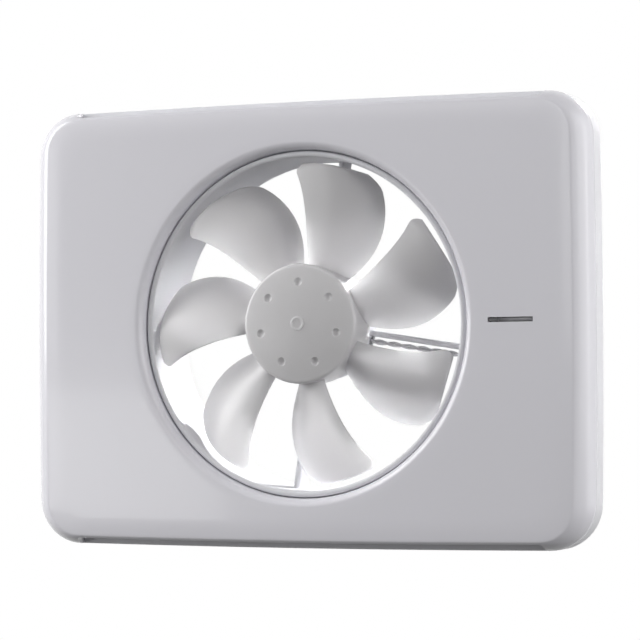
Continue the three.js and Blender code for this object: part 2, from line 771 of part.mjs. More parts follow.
function terminalBlock() {
  const wellZ = terminalZ + terminal.screwRise;
  const cuts = [];
  for (let i = 0; i < terminal.ways; i++) {
    cuts.push(pin(wayX(i), wellZ, 1.9, terminalFront - 1, terminalFront + screwWell));
    cuts.push(block(wayX(i), terminalZ - terminal.height / 2, 3, 5, terminalFront + 1.4, terminalFront + 4));
  }
  return cutFrom(onBoard(terminalX, terminalZ, terminal), cuts);
}

function terminalScrew(i) {
  const z = terminalZ + terminal.screwRise;
  const head = pin(wayX(i), z, 1.6, terminalFront + 0.8, terminalFront + screwWell - GAP);
  return head.subtract(block(wayX(i), z, 4, 0.6, terminalFront, terminalFront + 1.5));
}

function cableGrommet() {
  const seat = plateFront - GAP;
  const brim = entry.radius + entry.brim;
  const throat = entry.bore + 1;
  const body = turned([
    [entry.bore, plateFront - entry.collar],
    [entry.neck, plateFront - entry.collar],
    [brim, seat - entry.brimThickness],
    [brim, seat],
    [entry.radius, seat],
    [entry.radius, -GAP],
    [throat, -GAP],
    [throat, plateFront],
    [entry.bore, plateFront - 0.8],
  ], 14);
  return solidOf(geometryOf(body).translate(bayX, 0, entryZ));
}

function cableClamp() {
  const back = clamp.front + clamp.thickness;
  const bar = block(bayX, clampZ, clamp.width, clamp.height, clamp.front, back);
  const saddle = lyingPin(bayX, back + 2, clampZ, clamp.saddle, clamp.height + 2);
  const holes = clampScrews.map(([x, z]) => pin(x, z, screwHole, clamp.front - 1, back + 1));
  return cutFrom(bar, [saddle, ...holes]);
}

/** A U-shaped spring clip that grips one tongue of the cover. */
function springClip(x, z) {
  const half = tongue.thickness / 2 + GAP;
  const back = plateFront - GAP;
  const front = back - clip.leg;
  const outer = block(x, z, clip.width, 2 * (half + clip.sheet), front, back);
  const inner = block(x, z, clip.width + 2, 2 * half, front - 1, back - clip.sheet);
  return outer.subtract(inner);
}

// ---------- materials ----------

function finish(color, roughness, metalness = 0) {
  return new THREE.MeshStandardMaterial({ color, roughness, metalness });
}

const glossWhite = finish(0xe9e8ee, 0.22);
const frameWhite = finish(0xe6e6ea, 0.4);
const ductWhite = finish(0xe2e2e6, 0.45);
const wheelGrey = finish(0xd2d1d6, 0.35);
const smoked = finish(0x2c2c32, 0.2);
const foam = finish(0x3c3c40, 0.95);
const steel = finish(0xa9abb0, 0.3, 1);
const brass = finish(0xc3a35a, 0.35, 1);
const ferrite = finish(0x36363a, 0.7);
const lamination = finish(0x7e8086, 0.45, 0.9);
const copper = finish(0xb5683a, 0.35, 0.9);
const boardGreen = finish(0x1f6a45, 0.5);
const darkPlastic = finish(0x26262a, 0.5);
const terminalGrey = finish(0xb9bbb6, 0.5);
const rubber = finish(0x1d1d1f, 0.85);
const leadGrey = finish(0xcdcdd1, 0.6);

// ---------- assembly ----------

const fan = new THREE.Group();

function add(name, solid, material) {
  const mesh = new THREE.Mesh(geometryOf(solid), material);
  mesh.name = name;
  fan.add(mesh);
}

add('front_cover', frontCover(), glossWhite);
add('indicator_window', indicatorWindow(), smoked);
add('base_frame', baseFrame(), frameWhite);
add('duct_tube', ductTube(), ductWhite);
const gasketRing = ring(gasketInner, gasketOuter, -gasket.thickness, 0, LARGE_ROUND);
add('wall_gasket', gasketRing.subtract(leadRun(lead.radius + lead.clearance + 0.2)), foam);

add('impeller', impellerWheel(), wheelGrey);
add('rotor_cup', rotorCup(), steel);
const magnetFront = cupFront + motor.cupWall + GAP;
const shaftEnd = bearingTubeBack + 1.2;
add('ring_magnet', ring(magnetInner, magnetOuter, magnetFront, motor.cupBack - 0.4), ferrite);
add('rotor_shaft', ring(0, motor.shaftRadius, cupFront, shaftEnd, 2 * SMALL_ROUND), steel);
const clipRing = ring(motor.shaftRadius + GAP, 3, bearingTubeBack + GAP, shaftEnd - GAP, 2 * SMALL_ROUND);
add('shaft_clip', clipRing, steel);

add('bearing_tube', ring(motor.tubeBore, motor.tubeRadius, bearingTubeFront, bearingTubeBack), brass);
add('front_bearing', bearing(bearingTubeFront + 0.3), steel);
add('rear_bearing', bearing(bearingTubeBack - 0.3 - motor.bearingLength), steel);
add('stator_core', statorCore(), lamination);
for (let i = 0; i < motor.teeth; i++) add(`winding_${i + 1}`, winding((360 / motor.teeth) * i), copper);
const motorBoardFront = motor.coreBack + motor.coilEnd + 2 * GAP;
const motorBoardBack = motorBoardFront + motor.boardThickness;
const motorBoard = ring(motor.tubeRadius + GAP, motor.boardRadius, motorBoardFront, motorBoardBack);
add('motor_board', motorBoard, boardGreen);
add('motor_cap', motorCap(), ductWhite);
add('motor_lead', leadRun(lead.radius), leadGrey);

function addScrews(prefix, places, seat, length) {
  places.forEach((place, i) => add(`${prefix}_${i + 1}`, panScrew(place, seat, length), steel));
}

addScrews('duct_screw', ductScrews, flangeFront - GAP, 3.6);

add('control_board', controlBoard(), boardGreen);
addScrews('board_screw', boardScrews, boardFront - GAP, 4.6);
const capacitorAt = [bayX + capacitor.shift, partsBack - capacitor.radius - 0.05, boardTop - capacitor.drop];
add('power_module', onBoard(bayX + powerModule.shift, boardTop - powerModule.drop, powerModule), darkPlastic);
add('capacitor', lyingPin(...capacitorAt, capacitor.radius, capacitor.length), darkPlastic);
add('indicator_lamp', onBoard(slotX, slot.z, lamp), terminalGrey);
add('humidity_sensor', onBoard(bayX + sensor.shift, boardTop - sensor.drop, sensor), terminalGrey);
add('lead_socket', leadSocket(), terminalGrey);
add('terminal_block', terminalBlock(), terminalGrey);
for (let i = 0; i < terminal.ways; i++) add(`terminal_screw_${i + 1}`, terminalScrew(i), brass);
add('cable_grommet', cableGrommet(), rubber);
add('cable_clamp', cableClamp(), darkPlastic);
addScrews('clamp_screw', clampScrews, clamp.front - GAP, 5);

const clipPlaces = [[-clipX, clipZ], [clipX, clipZ], [-clipX, -clipZ], [clipX, -clipZ]];
clipPlaces.forEach(([x, z], i) => add(`spring_clip_${i + 1}`, springClip(x, z), steel));

export default fan;
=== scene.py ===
"""Looks of the compact exhaust fan: fine shells, a smooth impeller, the parts inside, finishes and studio.

Lengths are in millimetres and become metres when a mesh is made. X is right, Z is up, the front faces -Y,
and the origin is on the duct axis in the wall plane.
"""

import math

import bmesh
import bpy
from mathutils import Matrix, Vector


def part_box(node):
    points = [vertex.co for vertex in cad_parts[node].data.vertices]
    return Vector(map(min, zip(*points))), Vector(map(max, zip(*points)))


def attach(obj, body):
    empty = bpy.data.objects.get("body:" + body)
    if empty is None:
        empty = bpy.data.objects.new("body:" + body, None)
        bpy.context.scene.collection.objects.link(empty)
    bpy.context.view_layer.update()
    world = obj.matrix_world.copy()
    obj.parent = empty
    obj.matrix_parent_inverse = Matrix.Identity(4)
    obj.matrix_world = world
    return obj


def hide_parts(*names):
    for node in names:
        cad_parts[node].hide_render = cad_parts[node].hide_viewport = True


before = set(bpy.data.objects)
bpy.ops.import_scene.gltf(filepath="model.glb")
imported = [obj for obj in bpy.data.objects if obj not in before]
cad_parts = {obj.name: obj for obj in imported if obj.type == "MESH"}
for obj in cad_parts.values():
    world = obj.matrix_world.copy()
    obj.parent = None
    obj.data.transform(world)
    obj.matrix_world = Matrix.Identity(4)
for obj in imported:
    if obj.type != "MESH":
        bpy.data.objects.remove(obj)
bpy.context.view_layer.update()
MM = 0.001


# ---------- places, from the CAD nodes ------

def box_mm(node):
    """Lowest and highest corner of a CAD node, in millimetres."""
    low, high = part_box(node)
    return low / MM, high / MM


def middle_of(node):
    low, high = box_mm(node)
    return (low + high) / 2


def span(node):
    """Front and back of a CAD node in depth."""
    low, high = box_mm(node)
    return low.y, high.y


def numbered(stem, count):
    """Names of CAD nodes that are copies of one piece."""
    return [f"{stem}_{i}" for i in range(1, count + 1)]


def corners(x, z):
    """A place and its mirror images about both axes."""
    return [(x, z), (x, -z), (-x, z), (-x, -z)]


# ---------- sizes, from the CAD nodes where they have them ---

BASE_LOW, BASE_HIGH = box_mm("base_frame")
COVER_LOW, COVER_HIGH = box_mm("front_cover")

HALF_WIDTH = BASE_HIGH.x
HALF_HEIGHT = BASE_HIGH.z
FACE_Y = COVER_LOW.y
PARTING_Y = BASE_LOW.y - 0.3
EDGE_BOW = 0.85
CORNER = 16.0
FACE_CORNER = 11.5
ROUND_SIDE = 6.9
ROUND_TOP = 3.45
LEAST_ROUND = 0.6
SHOULDER = 7.5
SHOULDER_DROP = 0.4
COVER_WALL = 2.2
MOUTH = 65.0
MOUTH_MARGIN = 2.5
LIP_DEPTH = 4.0
COLLAR_LENGTH = 2.4
COLLAR_WALL = 1.7
COLLAR_EDGE = 0.2
TUBE_INNER = 59.4
TUBE_OUTER = 61.5
TUBE_GAP = 0.4
THROAT = TUBE_OUTER + TUBE_GAP

CHANNEL_HALF = 90.0
CHANNEL_LIP = 1.3
CHANNEL_DEPTH = 3.4
CHANNEL_FLOOR = 1.8

SLOT_X, SLOT_Z = 78.8, 0.3
SLOT_LENGTH, SLOT_HEIGHT = 16.3, 1.7

TONGUE_X, TONGUE_Z = 66.0, 68.0
TONGUE_WIDTH, TONGUE_SHEET = 5.0, 1.6

CORNER_STEPS = 14
SIDE_STEPS = 26
OUTSIDE_STEPS, INSIDE_STEPS = 5, 3
THROUGH = 1.0    # how far a cutting shape runs past a surface
ON_AXIS = 1e-6   # a radius below this is a pole


# ---------- mesh helpers ----------

def make_object(name, points, faces):
    mesh = bpy.data.meshes.new(name)
    mesh.from_pydata([Vector(p) * MM for p in points], [], faces)
    mesh.validate()
    obj = bpy.data.objects.new(name, mesh)
    bpy.context.scene.collection.objects.link(obj)
    return obj


def face_outward(obj):
    """Turns the faces of a closed mesh so that they point out."""
    work = bmesh.new()
    work.from_mesh(obj.data)
    bmesh.ops.remove_doubles(work, verts=work.verts, dist=1e-7)
    bmesh.ops.recalc_face_normals(work, faces=work.faces)
    work.to_mesh(obj.data)
    work.free()
    return obj


def loft(name, rings, loop=False):
    """A closed mesh through rings of equal length; loop joins the last ring to the first."""
    count = len(rings[0])
    points = [p for ring in rings for p in ring]
    faces = []
    spans = len(rings) if loop else len(rings) - 1
    for k in range(spans):
        a, b = k * count, (k + 1) % len(rings) * count
        for i in range(count):
            j = (i + 1) % count
            faces.append((a + i, a + j, b + j, b + i))
    if not loop:
        last = (len(rings) - 1) * count
        faces.append(tuple(range(count - 1, -1, -1)))
        faces.append(tuple(range(last, last + count)))
    return face_outward(make_object(name, points, faces))


def revolve(name, profile, segments=192):
    """A closed profile of (radius, y) turned about the duct axis; points on the axis become poles."""
    points, faces = [], []
    rows = []
    for radius, y in profile:
        if radius < ON_AXIS:
            rows.append([len(points)] * segments)
            points.append((0, y, 0))
            continue
        rows.append(list(range(len(points), len(points) + segments)))
        for i in range(segments):
            angle = 2 * math.pi * i / segments
            points.append((radius * math.cos(angle), y, radius * math.sin(angle)))
    on_axis = profile[0][0] < ON_AXIS and profile[-1][0] < ON_AXIS
    pairs = len(rows) - 1 if on_axis else len(rows)
    for k in range(pairs):
        a, b = rows[k], rows[(k + 1) % len(rows)]
        for i in range(segments):
            j = (i + 1) % segments
            corner = []
            for index in (a[i], a[j], b[j], b[i]):
                if index not in corner:
                    corner.append(index)
            if len(corner) > 2:
                faces.append(tuple(corner))
    return face_outward(make_object(name, points, faces))


def combine(target, other, operation):
    """Joins or cuts target with another closed mesh, which is used up."""
    modifier = target.modifiers.new("combine", "BOOLEAN")
    modifier.operation = operation
    modifier.solver = "MANIFOLD"
    modifier.object = other
    applied(target)
    bpy.data.objects.remove(other)
    return target


def join(target, *others):
    for other in others:
        combine(target, other, "UNION")
    return target


def cut(target, *others):
    for other in others:
        combine(target, other, "DIFFERENCE")
    return target


def block(name, low, high):
    (x0, y0, z0), (x1, y1, z1) = low, high
    points = [(x, y, z) for x in (x0, x1) for y in (y0, y1) for z in (z0, z1)]
    faces = [(0, 1, 3, 2), (4, 6, 7, 5), (0, 4, 5, 1), (2, 3, 7, 6), (0, 2, 6, 4), (1, 5, 7, 3)]
    return face_outward(make_object(name, points, faces))


def rod(name, x, z, radius, front, back, segments=48):
    ring = [(radius * math.cos(2 * math.pi * i / segments), radius * math.sin(2 * math.pi * i / segments))
            for i in range(segments)]
    return loft(name, [[(x + dx, y, z + dz) for dx, dz in ring] for y in (front, back)])


def ball(name, x, y, z, radius, steps=14, segments=28):
    profile = [(radius * math.sin(a), -radius * math.cos(a)) for a in arc(0, 180, steps)]
    profile[0], profile[-1] = (0, -radius), (0, radius)
    return moved(revolve(name, profile, segments), x, y, z)


def moved(obj, x, y, z):
    obj.data.transform(Matrix.Translation(Vector((x, y, z)) * MM))
    return obj


def beveled(obj, width, segments=2):
    """Rounds the edges of a plain block-like mesh."""
    modifier = obj.modifiers.new("edges", "BEVEL")
    modifier.width = width * MM
    modifier.segments = segments
    modifier.limit_method = "ANGLE"
    modifier.angle_limit = math.radians(35)
    return applied(obj)


def applied(obj):
    """Bakes the object's modifiers into its mesh."""
    depsgraph = bpy.context.evaluated_depsgraph_get()
    mesh = bpy.data.meshes.new_from_object(obj.evaluated_get(depsgraph), depsgraph=depsgraph)
    old = obj.data
    obj.modifiers.clear()
    obj.data = mesh
    bpy.data.meshes.remove(old)
    mesh.name = obj.name
    return obj


def swept(name, path, section_radius, sides=14, closed=False):
    """A round bar along a path of points; a closed path joins its ends."""
    rings = []
    count = len(path)
    normal = None
    for i, point in enumerate(path):
        before = path[(i - 1) % count] if closed or i > 0 else point
        after = path[(i + 1) % count] if closed or i + 1 < count else point
        tangent = (after - before).normalized()
        if normal is None:
            normal = tangent.orthogonal().normalized()
        normal = (normal - tangent * normal.dot(tangent)).normalized()
        side = tangent.cross(normal)
        ring = []
        for k in range(sides):
            angle = 2 * math.pi * k / sides
            ring.append(point + (normal * math.cos(angle) + side * math.sin(angle)) * section_radius)
        rings.append(ring)
    return loft(name, rings, loop=closed)


def merged(name, parts):
    """One object from several separate bodies."""
    points, faces = [], []
    for part in parts:
        start = len(points)
        points += [v.co / MM for v in part.data.vertices]
        faces += [tuple(start + index for index in face.vertices) for face in part.data.polygons]
        bpy.data.objects.remove(part)
    return make_object(name, points, faces)


def smooth(obj, angle=32):
    """Smooth shading with creases kept sharp."""
    obj.data.shade_smooth()
    obj.data.set_sharp_from_angle(angle=math.radians(angle))
    return obj


def leveled(obj):
    """Lets the largest faces set the shading, so that a flat panel reads flat up to its rounded edges."""
    modifier = obj.modifiers.new("level", "WEIGHTED_NORMAL")
    modifier.weight = 100
    modifier.keep_sharp = True
    return applied(obj)


def arc(start, end, steps):
    """Angles in radians from start to end degrees."""
    return [math.radians(start + (end - start) * i / steps) for i in range(steps + 1)]


def bend(centre_x, centre_y, radius, start, end, steps):
    """Points of a round bend in a plane, from start to end degrees."""
    angles = arc(start, end, steps)
    return [(centre_x + radius * math.cos(a), centre_y + radius * math.sin(a)) for a in angles]


# ---------- copies made by geometry nodes ----------

def copies_tree(name):
    """A node tree that places one source object on every point of its mesh, turned about the duct axis."""
    tree = bpy.data.node_groups.new(name, "GeometryNodeTree")
    for label, kind in (("Geometry", "Geometry"), ("Source", "Object"), ("First Angle", "Float"),
                        ("Angle Step", "Float"), ("Finish", "Material")):
        tree.interface.new_socket(label, in_out="INPUT", socket_type="NodeSocket" + kind)
    tree.interface.new_socket("Geometry", in_out="OUTPUT", socket_type="NodeSocketGeometry")
    new = tree.nodes.new
    given, result = new("NodeGroupInput"), new("NodeGroupOutput")
    points, source = new("GeometryNodeMeshToPoints"), new("GeometryNodeObjectInfo")
    index, about_y = new("GeometryNodeInputIndex"), new("ShaderNodeCombineXYZ")
    turn = new("ShaderNodeMath")
    turn.operation = "MULTIPLY_ADD"
    place, realize = new("GeometryNodeInstanceOnPoints"), new("GeometryNodeRealizeInstances")
    finish = new("GeometryNodeSetMaterial")
    for start, output, end, socket in (
        (given, "Geometry", points, "Mesh"),
        (given, "Source", source, "Object"),
        (index, "Index", turn, 0),
        (given, "Angle Step", turn, 1),
        (given, "First Angle", turn, 2),
        (turn, "Value", about_y, "Y"),
        (points, "Points", place, "Points"),
        (source, "Geometry", place, "Instance"),
        (about_y, "Vector", place, "Rotation"),
        (place, "Instances", realize, "Geometry"),
        (realize, "Geometry", finish, "Geometry"),
        (given, "Finish", finish, "Material"),
        (finish, "Geometry", result, "Geometry"),
    ):
        tree.links.new(start.outputs[output], end.inputs[socket])
    return tree


COPIES = copies_tree("copies")


def copies(name, source, places, finish, first_angle=0.0, step=0.0):
    """One mesh of copies of source at the places; angles in degrees turn them about the duct axis."""
    obj = make_object(name, places, [])
    modifier = obj.modifiers.new("copies", "NODES")
    modifier.node_group = COPIES
    values = {"Source": source, "First Angle": math.radians(first_angle), "Angle Step": math.radians(step),
              "Finish": finish}
    for socket in COPIES.interface.items_tree:
        if socket.in_out == "INPUT" and socket.name in values:
            modifier[socket.identifier] = values[socket.name]
    applied(obj)
    bpy.data.objects.remove(source)
    return obj


def ring_of(name, source, count, finish, first_angle=0.0):
    """Copies of source turned about the duct axis in equal steps."""
    return copies(name, source, [(0, 0, 0)] * count, finish, first_angle, 360 / count)


# ---------- the crowned outline ----------

def outline(y, inset_side=0.0, inset_top=0.0, corner=CORNER):
    """Points of the bowed, round-cornered outline at one depth, counter-clockwise from the right side."""
    half_x, half_z = HALF_WIDTH - inset_side, HALF_HEIGHT - inset_top
    straight_x, straight_z = half_x - corner, half_z - corner
    points = []
    for side_x, side_z, start in ((1, 1, 0), (-1, 1, 90), (-1, -1, 180), (1, -1, 270)):
        points += bend(side_x * straight_x, side_z * straight_z, corner, start, start + 90, CORNER_STEPS)
        run_x, run_z = (-2 * side_x * straight_x, 0) if side_x == side_z else (0, -2 * side_z * straight_z)
        last_x, last_z = points[-1]
        for i in range(1, SIDE_STEPS):
            points.append((last_x + run_x * i / SIDE_STEPS, last_z + run_z * i / SIDE_STEPS))
    bowed = []
    for x, z in points:
        bowed_x = x * (1 - EDGE_BOW / half_x * (z / half_z) ** 2)
        bowed_z = z * (1 - EDGE_BOW / half_z * (x / half_x) ** 2)
        bowed.append((bowed_x, y, bowed_z))
    return bowed


def circle_like(ring, radius, y):
    """A circle whose points lie in the same directions as another ring's."""
    points = []
    for x, _, z in ring:
        length = math.hypot(x, z)
        points.append((x / length * radius, y, z / length * radius))
    return points


# ---------- front cover ----------

def edge_curve(steps):
    """Shares of the way out and back round the cover's edge: two tight bends, a gentle one between them."""
    first, last = 25, 65
    tight = 0.435
    rise = math.sin(math.radians(last)) - math.sin(math.radians(first))
    gentle = (1 - tight * (1 - rise)) / rise
    points, out, back = [(0.0, 0.0)], 0.0, 0.0
    for start, end, radius in ((0, first, tight), (first, last, gentle), (last, 90, tight)):
        angles = arc(start, end, steps)
        for angle in angles[1:]:
            points.append((out + radius * (math.sin(angle) - math.sin(angles[0])),
                           back + radius * (math.cos(angles[0]) - math.cos(angle))))
        out, back = points[-1]
    return points


def rounded_rings(wall, steps):
    """Rings of the cover's outside, or inside where a wall is given, from the back edge to the flat face."""
    side, top = ROUND_SIDE - wall, max(ROUND_TOP - wall, LEAST_ROUND)
    front = FACE_Y + wall
    rings = [outline(PARTING_Y, wall, wall, CORNER - wall)]
    for out, deep in reversed(edge_curve(steps)[1:]):
        corner = CORNER - wall - (CORNER - FACE_CORNER) * (1 - out)
        y = front + SHOULDER_DROP + side * deep
        rings.append(outline(y, wall + side * (1 - out), wall + top * (1 - out), corner))
    for share in (0.1, 0.25, 0.4, 0.55, 0.7, 0.85, 1.0):
        inset = SHOULDER * share
        y = front + SHOULDER_DROP * (1 - share) ** 2
        rings.append(outline(y, wall + side + inset, wall + top + inset, FACE_CORNER - wall))
    return rings


def cover_shell():
    """The whole cover wall as one closed loop of rings: outside, lip, collar, and back along the inside."""
    outside = rounded_rings(0.0, OUTSIDE_STEPS)
    inside = rounded_rings(COVER_WALL, INSIDE_STEPS)
    guide = outside[-1]
    lip_end = FACE_Y + LIP_DEPTH
    collar_back = lip_end + COLLAR_LENGTH
    rings = outside + [circle_like(guide, MOUTH + MOUTH_MARGIN, FACE_Y)]
    for angle in arc(0, 90, 12):
        radius = MOUTH - (MOUTH - THROAT) * math.sin(angle)
        rings.append(circle_like(guide, radius, lip_end - LIP_DEPTH * math.cos(angle)))
    for radius, y in (
        (THROAT, collar_back - COLLAR_EDGE),
        (THROAT + COLLAR_EDGE, collar_back),
        (THROAT + COLLAR_WALL, collar_back),
        (THROAT + COLLAR_WALL, lip_end),
        (MOUTH + COVER_WALL, FACE_Y + COVER_WALL),
    ):
        rings.append(circle_like(guide, radius, y))
    return loft("cover_shell", rings + inside[::-1], loop=True)


def channel_block(name, sign, grow=0.0):
    """The space of one grip channel, grown for the lining behind it."""
    depth, half = CHANNEL_DEPTH + grow, CHANNEL_HALF + grow
    floor, edge = HALF_HEIGHT - depth, HALF_HEIGHT + 2 * THROUGH
    section = [(-half, edge)]
    section += bend(depth - half, floor + depth, depth, 180, 270, 6)
    section += bend(half - depth, floor + depth, depth, 270, 360, 6)
    section.append((half, edge))
    back = PARTING_Y if grow else PARTING_Y + THROUGH
    return loft(name, [[(x, y, sign * z) for x, z in section] for y in (FACE_Y + CHANNEL_LIP, back)])


def front_cover():
    shell = cover_shell()
    for sign in (1, -1):
        body = loft("cover_body", rounded_rings(0.0, OUTSIDE_STEPS))
        join(shell, combine(channel_block("lining", sign, CHANNEL_FLOOR), body, "INTERSECT"))
    for sign in (1, -1):
        cut(shell, channel_block("channel", sign))
    slot_low = (SLOT_X - SLOT_LENGTH / 2, FACE_Y - THROUGH, SLOT_Z - SLOT_HEIGHT / 2)
    slot_high = (SLOT_X + SLOT_LENGTH / 2, FACE_Y + COVER_WALL + THROUGH, SLOT_Z + SLOT_HEIGHT / 2)
    cut(shell, block("slot", slot_low, slot_high))
    for x, z in corners(-TONGUE_X, -TONGUE_Z):
        low = (x - TONGUE_WIDTH / 2, FACE_Y + COVER_WALL / 2, z - TONGUE_SHEET / 2)
        high = (x + TONGUE_WIDTH / 2, COVER_HIGH.y, z + TONGUE_SHEET / 2)
        join(shell, block("tongue", low, high))
    return smooth(shell)


# ---------- base frame ----------

PLATE_FRONT = -2.5
TRAY_WALL = 2.2
TRAY_EDGE = 0.4
TRAY_RIM_EDGE = 0.2
TRAY_FILLET = 0.8
SEAT_INNER, SEAT_OUTER, SEAT_FLOOR = 62.5, 70.3, -1.4
KEYHOLE_X, KEYHOLE_Z = HALF_WIDTH - 10.25, HALF_HEIGHT - 13.75
KEYHOLE_SHANK, KEYHOLE_HEAD, KEYHOLE_DROP = 2.2, 4.0, 5.0
POST_RADIUS, POST_FILLET = 2.6, 0.5
POST_GAP = 0.3
ROOTED = 0.4
RIBS, RIB_STEP, RIB_WIDTH, RIB_RISE = 5, 15.0, 1.2, 2.2
RIB_NEAR, RIB_ROOT = -71.0, 0.3
SCREW_HOLE, HOLE_REACH = 1.6, 1.5
BOARD_INSET_X, BOARD_INSET_Z = 3.5, 5.0
LEAD_CLEARANCE = 0.4
CLAMP_SCREW_X = 7.5
GROMMET_HOLE = 6.3
SCREWS = {
    "duct_screws": numbered("duct_screw", 4),
    "board_screws": numbered("board_screw", 2),
    "clamp_screws": numbered("clamp_screw", 2),
}


def base_shell():
    """The shallow tray behind the cover, as one closed loop of rings from the duct hole round the edge."""
    front, back = BASE_LOW.y, 0.0
    wall, edge, rim = TRAY_WALL, TRAY_EDGE, TRAY_RIM_EDGE
    hole = TUBE_OUTER + TUBE_GAP
    guide = outline(back)
    rings = [circle_like(guide, hole, PLATE_FRONT)]
    for y, inset in (
        (PLATE_FRONT, wall + TRAY_FILLET),
        (PLATE_FRONT - 0.25, wall + 0.2),
        (PLATE_FRONT - TRAY_FILLET, wall),
        (front, wall),
    ):
        rings.append(outline(y, inset, inset, CORNER - inset))
    rings += [
        outline(front, rim, rim, CORNER),
        outline(front + 0.3 * rim, 0.3 * rim, 0.3 * rim, CORNER),
        outline(front + rim, 0, 0, CORNER),
        outline(back - edge, 0, 0, CORNER),
        outline(back - edge / 3, edge / 3, edge / 3, CORNER - edge / 3),
        outline(back, edge, edge, CORNER - edge),
    ]
    for radius, y in ((SEAT_OUTER, back), (SEAT_OUTER, SEAT_FLOOR), (SEAT_INNER, SEAT_FLOOR),
                      (SEAT_INNER, back), (hole, back)):
        rings.append(circle_like(guide, radius, y))
    return loft("base_shell", rings, loop=True)


def keyhole(x, z):
    front, back = PLATE_FRONT - THROUGH, THROUGH
    slot = block("keyhole", (x - KEYHOLE_SHANK, front, z - KEYHOLE_DROP), (x + KEYHOLE_SHANK, back, z))
    head = rod("head", x, z - KEYHOLE_DROP, KEYHOLE_HEAD, front, back)
    return join(slot, head, rod("shank", x, z, KEYHOLE_SHANK, front, back))


def post(x, z, front):
    """A screw post with a softened mouth."""
    edge, root = 0.25, PLATE_FRONT + ROOTED
    profile = [(0, front), (POST_RADIUS - edge, front), (POST_RADIUS, front + edge),
               (POST_RADIUS, PLATE_FRONT - POST_FILLET), (POST_RADIUS + POST_FILLET, root), (0, root)]
    return moved(revolve("post", profile, 40), x, 0, z)


def board_holes():
    """Places of the four posts under the control board, which have its holes in front of them."""
    low, high = box_mm("control_board")
    middle, half = (low + high) / 2, (high - low) / 2
    places = corners(half.x - BOARD_INSET_X, half.z - BOARD_INSET_Z)
    return [(middle.x + x, middle.z + z) for x, z in places]


def screw_hole(target, node, front, back):
    """Cuts the hole that one screw goes through."""
    seat = middle_of(node)
    return cut(target, rod("hole", seat.x, seat.z, SCREW_HOLE, front, back, 28))


def lead_way(clearance=LEAD_CLEARANCE):
    """The space that the motor lead needs."""
    return swept("lead_way", lead_route(), LEAD_RADIUS + clearance)


def base_frame():
    shell = base_shell()
    plate_way = (PLATE_FRONT - HOLE_REACH, THROUGH)
    for x, z in board_holes():
        join(shell, post(x, z, span("control_board")[1] + POST_GAP))
    clamp = middle_of("cable_clamp")
    for side in (CLAMP_SCREW_X, -CLAMP_SCREW_X):
        join(shell, post(clamp.x + side, clamp.z, span("cable_clamp")[1] + POST_GAP))
    far = TRAY_WALL - HALF_WIDTH - RIB_ROOT
    for i in range(RIBS):
        z = (i - (RIBS - 1) / 2) * RIB_STEP
        rib = block("rib", (far, PLATE_FRONT - RIB_RISE, z - RIB_WIDTH / 2),
                    (RIB_NEAR, PLATE_FRONT + ROOTED, z + RIB_WIDTH / 2))
        join(shell, beveled(rib, 0.3))
    for node in SCREWS["board_screws"] + SCREWS["clamp_screws"]:
        screw_hole(shell, node, span(node)[0], PLATE_FRONT + HOLE_REACH)
    for node in SCREWS["duct_screws"]:
        screw_hole(shell, node, *plate_way)
    entry = middle_of("cable_grommet")
    cut(shell, rod("entry", entry.x, entry.z, GROMMET_HOLE, *plate_way))
    for x, z in corners(KEYHOLE_X, KEYHOLE_Z):
        cut(shell, keyhole(x, z))
    cut(shell, lead_way())
    return leveled(smooth(shell))


# ---------- duct tube ----------

FLANGE_FRONT, FLANGE_BACK, FLANGE = -4.8, -2.8, TUBE_OUTER + 5
BEAD_INSET = 3.5
MOTOR_PLATE = 20.0
PLATE_BORE = 5.5
MOTOR_PLATE_FRONT, MOTOR_PLATE_BACK = 1.6, 4.2
PLATE_RIM, PLATE_RIM_WALL = 4.6, 1.4
STRUTS = 4
STRUT_ANGLE = -9
STRUT_HALF = 1.1
STRUT_NOSE, STRUT_TAIL = 2.2, 11.0
LUG_RADIUS = 5.0


def duct_tube():
    lip = (TUBE_OUTER - TUBE_INNER) / 2
    front, back = span("duct_tube")
    profile = [(TUBE_INNER, front + lip)] + bend(TUBE_INNER + lip, front + lip, lip, -180, 0, 12)[1:]
    profile += [(TUBE_OUTER, FLANGE_FRONT), (FLANGE, FLANGE_FRONT), (FLANGE, FLANGE_BACK),
                (TUBE_OUTER, FLANGE_BACK)]
    for out, along in ((0, -1), (0.35, -0.5), (0.5, 0), (0.35, 0.5), (0, 1)):
        profile.append((TUBE_OUTER + out, back - BEAD_INSET + along))
    profile += [(TUBE_OUTER, back - 0.3), (TUBE_OUTER - 0.3, back), (TUBE_INNER + 0.6, back),
                (TUBE_INNER, back - 0.9)]
    tube = join(revolve("duct_body", profile), motor_plate())
    for i in range(STRUTS):
        join(tube, strut(math.radians(STRUT_ANGLE + 360 / STRUTS * i)))
    for node in SCREWS["duct_screws"]:
        seat = middle_of(node)
        join(tube, screw_lug(seat.x, seat.z))
        screw_hole(tube, node, FLANGE_FRONT - THROUGH, FLANGE_BACK + THROUGH)
    cut(tube, lead_way())
    return smooth(tube)


def motor_plate():
    """The round plate that holds the motor, with a rim round its back."""
    front, back, rim_back = MOTOR_PLATE_FRONT, MOTOR_PLATE_BACK, MOTOR_PLATE_BACK + PLATE_RIM
    rim_inner = MOTOR_PLATE - PLATE_RIM_WALL
    profile = [(PLATE_BORE, front), (MOTOR_PLATE - 0.6, front), (MOTOR_PLATE, front + 0.6),
               (MOTOR_PLATE, rim_back - 0.3), (MOTOR_PLATE - 0.3, rim_back), (rim_inner, rim_back),
               (rim_inner, back), (PLATE_BORE, back)]
    return revolve("plate", profile, 96)


